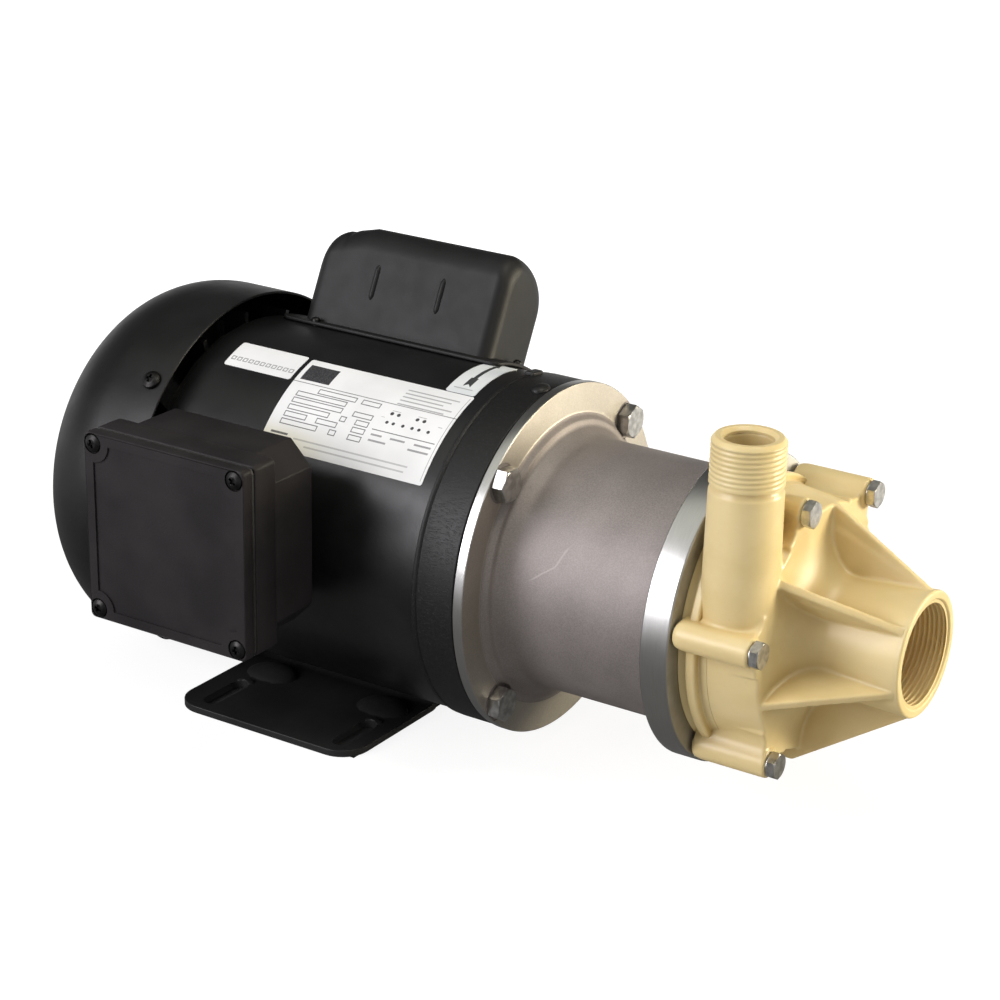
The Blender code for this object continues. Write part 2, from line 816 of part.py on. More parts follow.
def build_capacitor():
    length = capacitor_cover_front - capacitor_cover_rear
    middle = 0.5 * (capacitor_cover_front + capacitor_cover_rear)
    wall = capacitor_cover_wall
    item = capacitor_solid("capacitor_cover", capacitor_cover_foot, 0.0, False)
    hollow = capacitor_solid("capacitor_hollow", capacitor_cover_foot - 2.0 * overlap, wall, True)
    flange_outer = ring("capacitor_flange", capacitor_cover_front + capacitor_flange_reach,
                        capacitor_cover_rear - capacitor_flange_reach, shell_radius + seat_gap + wall,
                        shell_radius - through, cradle_steps, tool=True)
    strip_length = length + 4.0 * capacitor_flange_reach
    strip = box("flange_strip", (strip_length, capacitor_flange_width, shell_radius),
                lean(middle, shell_radius, 0.0), (-capacitor_lean, 0.0, 0.0))
    trim(flange_outer, [strip])
    relief = ring("capacitor_shell_relief", capacitor_cover_front + 2.0 * capacitor_flange_reach,
                  capacitor_cover_rear - 2.0 * capacitor_flange_reach, shell_radius + seat_gap,
                  through, cradle_steps, tool=True)
    fuse(item, [flange_outer])
    cut(item, [hollow, relief])
    screw_mesh = pan_screw_mesh(capacitor_screw_head, screw_head_height, capacitor_screw_radius,
                                capacitor_screw_length)
    holes = []
    places = []
    for end_x in (capacitor_cover_front + capacitor_screw_inset, capacitor_cover_rear - capacitor_screw_inset):
        places.append((end_x, capacitor_lean))
    for side in (-capacitor_side_screw, capacitor_side_screw):
        places.append((capacitor_side_screw_x, math.asin(side / shell_radius) + capacitor_lean))
    shell = bpy.data.objects["motor_shell"]
    for end_x, angle in places:
        holes.append(cylinder("cover_screw_hole", capacitor_screw_radius + bolt_gap, 2.0 * through,
                              around(shell_radius, angle, end_x), (-angle, 0.0, 0.0), screw_steps))
    cut(item, holes)
    cut(shell, holes)
    finish(item, "black_paint")
    for index, (end_x, angle) in enumerate(places):
        screw = put("capacitor_cover_screw_%d" % (index + 1), screw_mesh,
                    around(shell_radius + seat_gap + wall + face_gap, angle, end_x), screw_turn(angle))
        finish(screw, "black_steel")
    out = shell_radius + seat_gap + capacitor_radius
    can = cylinder("capacitor", capacitor_radius, capacitor_length, lean(middle, out, 0.0),
                   along_shaft, medium_steps, False)
    finish(can, "capacitor_can")


def box_outline(width, cut_corner):
    half = 0.5 * width
    return [(half, half - cut_corner), (half - cut_corner, half), (cut_corner - half, half),
            (-half, half - cut_corner), (-half, cut_corner - half), (cut_corner - half, -half),
            (half - cut_corner, -half), (half, cut_corner - half)]


def box_corners():
    reach = 0.5 * box_width - box_screw_inset
    return [(box_x + sx * reach, box_z + sz * reach) for sz in (1, -1) for sx in (-1, 1)]


upright = (math.pi / 2.0, 0.0, 0.0)


def build_conduit_box():
    rim_depth = box_rim_rear - box_rim_front
    body_depth = box_rear - box_rim_rear + 2.0 * overlap
    body_width = box_width - box_body_inset
    item = prism("conduit_box", rounded_rectangle(box_width, box_width, box_corner), rim_depth,
                 (box_x, 0.5 * (box_rim_front + box_rim_rear), box_z), upright, tool=False)
    body = prism("box_body", box_outline(body_width, box_rear_cut), body_depth,
                 (box_x, box_rear - 0.5 * body_depth, box_z), upright)
    neck = box("box_neck", (box_neck_width, box_neck_reach, box_neck_width),
               (box_x, box_rear + 0.5 * box_neck_reach - overlap, box_neck_z))
    fuse(item, [body, neck])
    inside_depth = box_rear - box_rim_front - box_floor_wall + through
    inside = prism("box_inside", box_outline(body_width - 2.0 * box_wall, box_rear_cut), inside_depth,
                   (box_x, box_rear - box_floor_wall - 0.5 * inside_depth, box_z), upright)
    saddle = rod("box_saddle", box_x + box_width, box_x - box_width, shell_radius + seat_gap,
                 cradle_steps, True)
    lead = cylinder("box_lead_hole", lead_hole_radius, 3.0 * box_neck_reach,
                    (box_x, box_rear + 0.5 * box_neck_reach, box_neck_z), upright)
    cut(item, [inside, saddle, lead])
    pillars = []
    holes = []
    for x, z in box_corners():
        pillars.append(cylinder("box_pillar", box_boss_radius, rim_depth,
                                (x, 0.5 * (box_rim_front + box_rim_rear), z), upright, screw_steps))
        holes.append(cylinder("box_screw_hole", box_screw_radius + bolt_gap, 2.0 * box_screw_length,
                              (x, box_rim_front, z), upright, screw_steps))
    fuse(item, pillars)
    cut(item, holes)
    finish(item, "black_plastic")


def build_conduit_cover():
    gasket_front = box_rim_front - face_gap - gasket_thickness
    window_outline = box_outline(box_width - window_inset, window_cut)
    gasket_width = box_width - box_body_inset
    gasket_outline = rounded_rectangle(gasket_width, gasket_width, box_corner)
    gasket = prism("conduit_gasket", gasket_outline, gasket_thickness,
                   (box_x, gasket_front + 0.5 * gasket_thickness, box_z), upright, tool=False)
    window = prism("gasket_window", window_outline, through, (box_x, gasket_front, box_z), upright)
    cover_rear = gasket_front - face_gap
    cover_front = cover_rear - cover_thickness
    cover = prism("conduit_cover", rounded_rectangle(box_width, box_width, box_corner), cover_thickness,
                  (box_x, 0.5 * (cover_rear + cover_front), box_z), upright, tool=False)
    panel_size = box_width - 2.0 * cover_border
    panel = prism("cover_panel", rounded_rectangle(panel_size, panel_size, panel_corner), 2.0 * cover_recess,
                  (box_x, cover_front, box_z), upright)
    under = prism("cover_hollow", window_outline, 2.0 * (cover_thickness - cover_skin),
                  (box_x, cover_rear, box_z), upright)
    scallops = []
    holes = []
    for x, z in box_corners():
        scallops.append(cylinder("cover_scallop", cover_scallop, through, (x, cover_front, z), upright, medium_steps))
        holes.append(cylinder("box_cover_hole", box_screw_radius + bolt_gap, 2.0 * through,
                              (x, cover_rear, z), upright, screw_steps))
    cut(panel, scallops)
    cut(gasket, [window, *holes])
    cut(cover, [panel, under, *holes])
    finish(gasket, "rubber")
    finish(cover, "black_plastic")
    mesh = pan_screw_mesh(box_screw_head, screw_head_height, box_screw_radius, box_screw_length + cover_thickness)
    for index, (x, z) in enumerate(box_corners()):
        screw = put("conduit_cover_screw_%d" % (index + 1), mesh, (x, cover_front - face_gap, z), upright)
        finish(screw, "black_steel")


def build_foot():
    """A stamped plate: flat feet on both sides of a cradle that holds the shell."""
    inner = shell_radius + seat_gap
    outer = inner + foot_thickness
    reach = math.asin(cradle_half_width / inner)
    upper = []
    lower = []
    count = 10
    for step in range(count + 1):
        angle = -reach + 2.0 * reach * step / count
        upper.append((inner * math.sin(angle), shaft_height - inner * math.cos(angle)))
        lower.append((outer * math.sin(angle), shaft_height - outer * math.cos(angle)))
    half = 0.5 * foot_width
    bend_under = foot_bend - bend_offset
    left_top = [(-half, foot_thickness), (-foot_bend, foot_thickness)]
    right_top = [(foot_bend, foot_thickness), (half, foot_thickness)]
    right_under = [(half, 0.0), (bend_under, 0.0)]
    left_under = [(-bend_under, 0.0), (-half, 0.0)]
    middle = lower[1:-1]
    outline = left_top + upper + right_top + right_under + list(reversed(middle)) + left_under
    turn = (math.pi / 2.0, 0.0, math.pi / 2.0)
    item = prism("motor_foot", outline, foot_length, (foot_x, 0.0, 0.0), turn, tool=False)
    plan = prism("foot_plan", rounded_rectangle(foot_length, foot_width, foot_corner, 5), shaft_height,
                 (foot_x, 0.0, 0.0))
    trim(item, [plan])
    slots = []
    for side_x in (-1, 1):
        for side_y in (-1, 1):
            slots.append(prism("foot_slot", rounded_rectangle(foot_slot_width, foot_slot_length,
                                                              0.49 * foot_slot_width), through,
                               (foot_x + 0.5 * side_x * slot_pitch_x, 0.5 * side_y * slot_pitch_y, 0.0)))
    cut(item, slots)
    finish(item, "black_paint")


def build_adapter():
    rear = face_gap
    face = rear + flange_thickness
    recess = register_height + face_gap
    register = register_radius + seat_gap
    can_seat = ring_front - can_flange_thickness - face_gap
    can_recess = can_flange_radius + can_gap
    fillet = arc(face + collar_height + barrel_fillet, barrel_radius + barrel_fillet, barrel_fillet,
                 barrel_fillet, 270.0, 180.0, 3)
    collar = arc(face, collar_radius, collar_height, collar_height, 0.0, 90.0, 3)
    profile = [
        (ring_front, ring_radius - ring_chamfer), (ring_front - ring_chamfer, ring_radius),
        (ring_rear, ring_radius), (ring_rear, barrel_radius), *fillet,
        *collar[1:], (face, flange_radius), (rear, flange_radius), (rear, register), (recess, register),
        (recess, barrel_bore),
        (can_seat, barrel_bore), (can_seat, can_recess), (ring_front, can_recess),
    ]
    item = turned("pump_adapter", profile, large_steps)
    holes = []
    pads = []
    for angle in face_bolt_angles:
        pads.append(cylinder("spot_face", spot_radius, 2.0 * barrel_fillet,
                             around(face_bolt_circle, angle, face - spot_depth + barrel_fillet), along_shaft, medium_steps))
        holes.append(cylinder("flange_hole", face_bolt_radius + bolt_gap, 2.0 * through,
                              around(face_bolt_circle, angle, face), along_shaft, screw_steps))
    for angle in housing_bolt_angles():
        depth = ring_front - housing_bolt_end + 2.0 * face_gap
        holes.append(cylinder("ring_tapped_hole", housing_bolt_radius + bolt_gap, 2.0 * depth,
                              around(housing_bolt_circle, angle, ring_front), along_shaft, screw_steps))
    cut(item, pads + holes)
    finish(item, "cast_aluminium")
    length = face_bolt_reach + flange_thickness
    mesh = hex_bolt_mesh(face_bolt_flats, face_bolt_head, face_bolt_radius, length)
    for index, angle in enumerate(face_bolt_angles):
        bolt = put("flange_bolt_%d" % (index + 1), mesh,
                   around(face_bolt_circle, angle, face - spot_depth + face_gap), along_shaft)
        finish(bolt, "stainless", smooth=False)


def housing_bolt_angles():
    step = 2.0 * math.pi / housing_bolt_count
    return [step * index - math.radians(150.0) + housing_bolt_phase for index in range(housing_bolt_count)]


def build_can():
    floor = can_floor
    inner = can_radius - can_wall
    bore = spindle_radius + seat_gap
    rear = ring_front - can_flange_thickness
    profile = [
        (spindle_seat - face_gap, 0.0), (spindle_seat - face_gap, bore), (floor + socket_height, bore),
        (floor + socket_height, socket_radius), (floor, socket_radius), (floor, inner),
        (ring_front, inner), (ring_front, can_flange_radius), (rear, can_flange_radius),
        (rear, can_radius), (floor - can_floor_thickness, can_radius), (floor - can_floor_thickness, 0.0),
    ]
    item = turned("containment_can", profile, medium_steps, False)
    finish(item, "black_plastic")


def build_magnet_hub():
    bore = shaft_radius + seat_gap
    inner = hub_cup_radius - hub_cup_wall
    profile = [
        (hub_cup_front, hub_cup_radius), (hub_disc_rear, hub_cup_radius), (hub_disc_rear, hub_radius + hub_fillet),
        (hub_disc_rear - hub_fillet, hub_radius), (hub_rear, hub_radius), (hub_rear, bore), (hub_disc_front, bore),
        (hub_disc_front, inner), (hub_cup_front, inner),
    ]
    item = turned("drive_magnet_hub", profile)
    key_length = key_front - key_rear
    keyway_size = key_width + 2.0 * seat_gap
    keyway = box("hub_keyway", (2.0 * hub_disc_front, keyway_size, keyway_size),
                 (hub_disc_front, 0.0, shaft_height + shaft_radius))
    screw_hole = cylinder("hub_screw_hole", set_screw_radius + bolt_gap, hub_radius,
                          (set_screw_x, -shaft_radius - 0.5 * hub_radius, shaft_height), upright, screw_steps)
    cut(item, [keyway, screw_hole])
    finish(item, "cast_aluminium")
    spin_with(item, motor_axis)
    key = box("hub_key", (key_length, key_width, key_width),
              (0.5 * (key_rear + key_front), 0.0, shaft_height + shaft_radius), tool=False)
    finish(key, "shaft_steel", smooth=False)
    spin_with(key, motor_axis)
    screw = cylinder("hub_set_screw", set_screw_radius, set_screw_length,
                     (set_screw_x, -(shaft_radius + face_gap + 0.5 * set_screw_length), shaft_height),
                     upright, screw_steps, False)
    finish(screw, "shaft_steel", smooth=False)
    spin_with(screw, motor_axis)


def build_drive_magnets():
    outer = hub_cup_radius - hub_cup_wall - seat_gap
    inner = outer - magnet_thickness
    item = ring("drive_magnets", magnet_front, magnet_rear, outer, inner)
    grooves = []
    length = magnet_front - magnet_rear
    for index in range(magnet_poles):
        angle = 2.0 * math.pi * (index + 0.5) / magnet_poles
        grooves.append(box("magnet_joint", (length * 2.0, magnet_slot, magnet_thickness),
                           around(inner, angle, 0.5 * (magnet_front + magnet_rear)), (-angle, 0.0, 0.0)))
    cut(item, grooves)
    finish(item, "magnet")
    spin_with(item, motor_axis)


def build_motor_shaft():
    journal = drive_bearing_seat - drive_bearing_width - 2.0 * face_gap
    rear_journal = rear_bearing_seat + rear_bearing_width + 2.0 * face_gap
    neck = shell_front * 0.2
    profile = [
        (shaft_end, 0.0), (shaft_end, shaft_radius - shaft_chamfer), (shaft_end - shaft_chamfer, shaft_radius),
        (neck, shaft_radius), (neck, drive_bearing_bore), (journal, drive_bearing_bore),
        (journal, rotor_shaft_radius), (rotor_shaft_rear, rotor_shaft_radius),
        (rotor_shaft_rear, rear_shoulder_radius), (rear_journal, rear_shoulder_radius),
        (rear_journal, rear_bearing_bore), (rear_journal_end, rear_bearing_bore),
        (rear_journal_end, fan_journal_radius), (fan_journal_end, fan_journal_radius), (fan_journal_end, 0.0),
    ]
    item = turned("motor_shaft", profile, medium_steps, False)
    length = key_front - key_rear
    slot_size = key_width + 2.0 * seat_gap
    keyway = box("shaft_keyway", (length + 2.0 * seat_gap, slot_size, slot_size),
                 (0.5 * (key_rear + key_front), 0.0, shaft_height + shaft_radius))
    cut(item, [keyway])
    finish(item, "shaft_steel")
    spin_with(item, motor_axis)


def build_rotor_core():
    ring_outer = rotor_radius - end_ring_step
    ring_inner = ring_outer - end_ring_wall
    bore = rotor_shaft_radius + seat_gap
    front = core_front + end_ring_length
    rear = core_rear - end_ring_length
    profile = [
        (front, ring_outer), (core_front, ring_outer), (core_front, rotor_radius), (core_rear, rotor_radius),
        (core_rear, ring_outer), (rear, ring_outer), (rear, ring_inner), (core_rear, ring_inner),
        (core_rear, bore), (core_front, bore), (core_front, ring_inner), (front, ring_inner),
    ]
    item = turned("rotor_core", profile)
    finish(item, "lamination")
    spin_with(item, motor_axis)


def housing_body_profile():
    """The front housing as a solid of revolution, from the suction rim back to its flange."""
    rear = ring_front + face_gap
    reach = neck_x - drum_front
    height = flare_radius - neck_radius
    flare = arc(neck_x, neck_radius + height, reach, height, 270.0, 180.0, 4)
    return [
        (suction_face, 0.0), (suction_face, suction_radius - overlap), (suction_face - overlap, suction_radius),
        *flare, (drum_front, drum_front_radius - drum_round), (drum_front - drum_round, drum_front_radius),
        (band_front, drum_radius), (band_front, band_radius - band_chamfer),
        (band_front - band_chamfer, band_radius), (band_rear + band_chamfer, band_radius),
        (band_rear, band_radius - band_chamfer), (band_rear, housing_groove), (rear, housing_groove), (rear, 0.0),
    ]


def housing_inside_profile():
    """The wet space: seal groove, pump chamber, throat and suction thread."""
    rear = ring_front + face_gap
    groove_outer = o_ring_radius + o_ring_section + face_gap
    groove_inner = o_ring_radius - o_ring_section - face_gap
    groove_depth = rear + 2.0 * o_ring_section + face_gap
    thread_end = suction_face - suction_thread_depth
    before = rear - through
    mouth = suction_bore + suction_chamfer
    chamber = [
        (suction_face + through, 0.0), (suction_face + through, mouth), (suction_face - suction_chamfer, mouth),
        (suction_face - 2.0 * suction_chamfer, suction_bore), (thread_end, suction_bore),
        (thread_end - 2.0 * mm, throat_radius), (throat_rear, throat_radius), (eye_pocket_front, eye_pocket_radius),
        (chamber_front, chamber_radius - chamber_round), (chamber_front - chamber_round, chamber_radius),
        (before, chamber_radius), (before, 0.0),
    ]
    groove = [(groove_depth, groove_outer), (before, groove_outer), (before, groove_inner),
              (groove_depth, groove_inner)]
    return chamber, groove


def rib_outline():
    inside = drum_front - 2.0 * overlap
    return [(rib_rear, rib_outer), (drum_front, rib_outer), (rib_front, suction_radius), (rib_front, rib_root),
            (neck_x, rib_root), (inside, rib_rear_root), (rib_rear, rib_rear_root)]


def build_front_housing():
    """Volute housing: drum, flared suction neck with ribs, bolt bosses and discharge."""
    item = turned("front_housing", housing_body_profile(), large_steps, False)
    additions = []
    boss_rear = ring_front + 2.0 * face_gap
    boss_length = boss_front - boss_rear
    web_rear = boss_rear + face_gap
    web_length = drum_front - 2.0 * overlap - web_rear
    web_inner = drum_front_radius - boss_web_reach
    for angle in housing_bolt_angles():
        additions.append(cylinder("housing_boss", boss_radius, boss_length,
                                  around(housing_bolt_circle, angle, boss_rear + 0.5 * boss_length), along_shaft))
        additions.append(box("boss_web", (web_length, boss_web, housing_bolt_circle - web_inner),
                             around(0.5 * (housing_bolt_circle + web_inner), angle, web_rear + 0.5 * web_length),
                             (-angle, 0.0, 0.0)))
        rib_angle = angle + math.pi / housing_bolt_count
        turn = Matrix.Rotation(-rib_angle, 4, "X") @ Matrix.Rotation(math.pi / 2.0, 4, "X")
        additions.append(prism("neck_rib", rib_outline(), rib_thickness, (0.0, 0.0, shaft_height), turn.to_euler()))
    additions.append(discharge_pipe())
    fuse(item, additions)
    chamber, groove = housing_inside_profile()
    wet = turned("wet_space", chamber, medium_steps, False, True)
    seal_groove = turned("seal_groove", groove, medium_steps, True, True)
    bore_length = discharge_top - discharge_bore_foot + through
    bore = cylinder("discharge_bore", discharge_bore, bore_length,
                    (discharge_x, discharge_y, discharge_bore_foot + 0.5 * bore_length), steps=medium_steps)
    removals = [wet, seal_groove, bore]
    hole_length = 2.0 * (boss_front - ring_front + through)
    for angle in housing_bolt_angles():
        removals.append(cylinder("boss_hole", housing_bolt_radius + bolt_gap, hole_length,
                                 around(housing_bolt_circle, angle, boss_front), along_shaft, screw_steps))
    cut(item, removals)
    fuse(item, spider())
    socket = rod("spindle_socket", spindle_front + face_gap, can_floor, spindle_radius + seat_gap, small_steps, True)
    cut(item, [socket])
    finish(item, "cream_plastic")


def discharge_pipe():
    """The upright discharge pipe with its bevelled lip, as a tool to fuse."""
    mesh = bpy.data.meshes.new("discharge_pipe")
    lip = discharge_lip
    points = [(0.0, 0.0, discharge_top), (discharge_radius - lip, 0.0, discharge_top),
              (discharge_radius, 0.0, discharge_top - lip), (discharge_radius, 0.0, discharge_draft_top),
              (discharge_foot_radius, 0.0, discharge_foot), (0.0, 0.0, discharge_foot)]
    mesh.from_pydata(points, [(i, i + 1) for i in range(len(points) - 1)], [])
    item = put("discharge_pipe", mesh, (discharge_x, discharge_y, 0.0), tool=True)
    screw = item.modifiers.new("Turn", "SCREW")
    screw.steps = medium_steps
    screw.render_steps = medium_steps
    screw.use_merge_vertices = True
    screw.merge_threshold = 0.00001
    return bake(item)


def spider():
    """The hub in the throat that holds the front end of the spindle, on its vanes."""
    rear = hub_front + 2.0 * face_gap + washer_thickness + face_gap
    tools = [rod("spider_hub", spider_front, rear, spider_hub_radius, small_steps, True)]
    for index in range(spider_vanes):
        angle = 2.0 * math.pi * (index + 0.5) / spider_vanes
        inner = 0.5 * spider_hub_radius
        height = throat_radius + 2.0 * overlap - inner
        length = spider_front - overlap - spider_rear_vane
        tools.append(box("spider_vane", (length, spider_vane_thickness, height),
                         around(inner + 0.5 * height, angle, spider_rear_vane + 0.5 * length), (-angle, 0.0, 0.0)))
    return tools


def build_housing_bolts():
    length = boss_front - housing_bolt_end
    mesh = hex_bolt_mesh(housing_bolt_flats, housing_bolt_head, housing_bolt_radius, length)
    for index, angle in enumerate(housing_bolt_angles()):
        bolt = put("housing_bolt_%d" % (index + 1), mesh,
                   around(housing_bolt_circle, angle, boss_front + face_gap), along_shaft)
        finish(bolt, "stainless", smooth=False)


def build_o_ring():
    centre = ring_front + face_gap + o_ring_section
    section = []
    for step in range(6):
        angle = math.radians(90.0 - 60.0 * step)
        section.append((centre + o_ring_section * math.cos(angle), o_ring_radius + o_ring_section * math.sin(angle)))
    section.reverse()
    item = turned("housing_o_ring", section, medium_steps)
    finish(item, "rubber")


def build_spindle():
    spindle = rod("spindle", spindle_front, spindle_seat, spindle_radius)
    finish(spindle, "ceramic")
    rear_seat = can_floor + socket_height + face_gap
    rear = ring("rear_thrust_washer", rear_seat + washer_thickness, rear_seat, bushing_radius,
                spindle_radius + seat_gap, small_steps)
    finish(rear, "ceramic")
    front_seat = hub_front + face_gap
    front = ring("front_thrust_washer", front_seat + washer_thickness, front_seat, spider_hub_radius,
                 spindle_radius + seat_gap, small_steps)
    finish(front, "ceramic")


def build_impeller():
    rotor_rear = can_floor + socket_height + 2.0 * face_gap + washer_thickness
    bore = bushing_radius + seat_gap
    capsule_profile = [
        (capsule_front, capsule_radius - capsule_chamfer), (capsule_front - capsule_chamfer, capsule_radius),
        (rotor_rear + capsule_chamfer, capsule_radius), (rotor_rear, capsule_radius - capsule_chamfer),
        (rotor_rear, bore), (capsule_front, bore),
    ]
    capsule = turned("inner_magnet_capsule", capsule_profile)
    finish(capsule, "black_plastic")
    spin_with(capsule, impeller_axis)
    bushing = ring("impeller_bushing", hub_front, rotor_rear, bushing_radius,
                   spindle_radius + seat_gap, small_steps)
    finish(bushing, "carbon")
    spin_with(bushing, impeller_axis)
    rear = capsule_front + face_gap
    shroud_front = shroud_rear + shroud_thickness
    profile = [
        (hub_front, impeller_hub_radius - 2.0 * overlap), (shroud_front + 2.0 * overlap, impeller_hub_radius),
        (shroud_front, impeller_hub_radius + 4.0 * overlap), (shroud_front, impeller_radius),
        (shroud_rear, impeller_radius), (shroud_rear, impeller_collar), (rear, impeller_collar),
        (rear, bore), (hub_front, bore),
    ]
    item = turned("impeller", profile)
    eye_outer = impeller_eye + eye_wall
    cover_profile = [
        (eye_front, eye_outer), (eye_rear + overlap, eye_outer), (shroud_rim + shroud_thickness, impeller_radius),
        (shroud_rim, impeller_radius), (eye_rear - eye_round, impeller_eye + overlap), (eye_rear, impeller_eye),
        (eye_front, impeller_eye),
    ]
    cover = turned("impeller_front_shroud", cover_profile, tool=True)
    vanes = []
    inner = impeller_hub_radius + 3.0 * overlap
    outer = impeller_radius - face_gap
    floor = shroud_rear + 0.5 * shroud_thickness
    for index in range(vane_count):
        vanes.append(vane(index, inner, outer, floor))
    space_rear = shroud_front - overlap
    beyond = impeller_radius + 2.0 * overlap
    space = turned("vane_space", [
        (eye_rear, 0.0), (eye_rear - 0.8 * eye_round, impeller_eye + 1.4 * overlap), (shroud_rim + overlap, beyond),
        (space_rear, beyond), (space_rear, 0.0),
    ], medium_steps, False, True)
    for blade in vanes:
        trim(blade, [space])
    fuse(item, [cover, *vanes])
    finish(item, "cream_plastic")
    spin_with(item, impeller_axis)


def vane(index, inner, outer, floor):
    """One backward-curved vane, an upright wall on a spiral centre line."""
    count = 4
    start = 2.0 * math.pi * index / vane_count
    left = []
    right = []
    for step in range(count + 1):
        share = step / count
        radius = inner + (outer - inner) * share
        angle = start - vane_sweep * share ** 0.9
        half = 0.5 * vane_thickness / radius
        left.append((radius * math.cos(angle + half), radius * math.sin(angle + half)))
        right.append((radius * math.cos(angle - half), radius * math.sin(angle - half)))
    return prism("impeller_vane", left + list(reversed(right)), vane_height,
                 (floor + 0.5 * vane_height, 0.0, shaft_height), along_shaft)


def build():
    build_motor_shell()
    build_stator()
    build_drive_endshield()
    build_rear_endshield()
    bearing("drive_bearing", drive_bearing_bore, drive_bearing_radius, drive_bearing_width,
            drive_bearing_seat - face_gap)
    bearing("rear_bearing", rear_bearing_bore, rear_bearing_radius, rear_bearing_width,
            rear_bearing_seat + rear_bearing_width + face_gap)
    build_motor_shaft()
    build_rotor_core()
    build_fan()
    build_fan_cover()
    build_capacitor()
    build_conduit_box()
    build_conduit_cover()
    build_foot()
    build_adapter()
    build_magnet_hub()
    build_drive_magnets()
    build_can()
    build_o_ring()
    build_front_housing()
    build_housing_bolts()
    build_spindle()
    build_impeller()


build()
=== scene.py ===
import math

import bmesh
import bpy
from mathutils import Matrix, Vector


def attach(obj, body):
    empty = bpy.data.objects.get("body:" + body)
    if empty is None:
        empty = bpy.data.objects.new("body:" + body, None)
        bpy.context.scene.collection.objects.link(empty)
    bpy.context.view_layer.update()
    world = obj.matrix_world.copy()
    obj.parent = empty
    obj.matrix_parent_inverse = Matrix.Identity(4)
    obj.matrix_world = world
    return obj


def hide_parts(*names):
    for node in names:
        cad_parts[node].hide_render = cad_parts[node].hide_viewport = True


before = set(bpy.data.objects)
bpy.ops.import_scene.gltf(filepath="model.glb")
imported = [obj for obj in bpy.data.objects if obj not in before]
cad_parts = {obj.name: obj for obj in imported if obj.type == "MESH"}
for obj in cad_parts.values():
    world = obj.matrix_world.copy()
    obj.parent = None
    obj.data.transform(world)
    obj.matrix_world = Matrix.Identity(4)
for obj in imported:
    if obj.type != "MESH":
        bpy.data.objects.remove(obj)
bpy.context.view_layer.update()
print("frame loaded:", len(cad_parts), "nodes")

# Everything is drawn in millimetres from the motor's face, with the shaft along x
# and the floor at z = 0, and moves to the frame's place when a piece is finished.
layout = {"shaftHeight": 88.9, "offsetX": 27.2, "offsetY": 25.75, "steps": 192}
millimetre = 0.001
toFrame = (Matrix.Translation((layout["offsetX"] * millimetre, layout["offsetY"] * millimetre, 0.0))
           @ Matrix.Scale(millimetre, 4))
alongShaft = Matrix(((0, 0, 1, 0), (1, 0, 0, 0), (0, 1, 0, 0), (0, 0, 0, 1)))   # (a, b, c) to (y, z, x)
towardsNear = Matrix(((1, 0, 0, 0), (0, 0, -1, 0), (0, 1, 0, 0), (0, 0, 0, 1)))  # (a, b, c) to (x, z, -y)


def around(x, radius, angle):
    # a point about the shaft, its angle in degrees from straight up towards the far side
    a = math.radians(angle)
    return Vector((x, radius * math.sin(a), layout["shaftHeight"] + radius * math.cos(a)))


def spoke(x, radius, angle):
    # the place of a piece that stands on the shaft's circle with its own z pointing outwards
    return Matrix.Translation(around(x, radius, angle)) @ Matrix.Rotation(-math.radians(angle), 4, "X")


def meshOf(name, points, faces, edges=()):
    mesh = bpy.data.meshes.new(name)
    mesh.from_pydata(points, edges, faces)
    return mesh


def linked(name, data):
    # a new object in the scene
    item = bpy.data.objects.new(name, data)
    bpy.context.scene.collection.objects.link(item)
    return item


def baked(host):
    # the mesh that an object's modifiers leave, with the object itself removed
    graph = bpy.context.evaluated_depsgraph_get()
    result = bpy.data.meshes.new_from_object(host.evaluated_get(graph))
    bpy.data.objects.remove(host, do_unlink=True)
    return result


def numbered(stem, count):
    return ["%s_%d" % (stem, i) for i in range(1, count + 1)]


class Wire:
    # one node's output, so that sums on values read as plain arithmetic
    def __init__(self, board, socket):
        self.board = board
        self.socket = socket

    def __add__(self, other):
        return self.board.maths("ADD", self, other)

    __radd__ = __add__

    def __sub__(self, other):
        return self.board.maths("SUBTRACT", self, other)

    def __rsub__(self, other):
        return self.board.maths("SUBTRACT", other, self)

    def __mul__(self, other):
        return self.board.maths("MULTIPLY", self, other)

    __rmul__ = __mul__

    def __truediv__(self, other):
        return self.board.maths("DIVIDE", self, other)

    def __gt__(self, other):
        return self.board.maths("GREATER_THAN", self, other)

    def __lt__(self, other):
        return self.board.maths("LESS_THAN", self, other)

    def __neg__(self):
        return self.board.maths("MULTIPLY", self, -1.0)


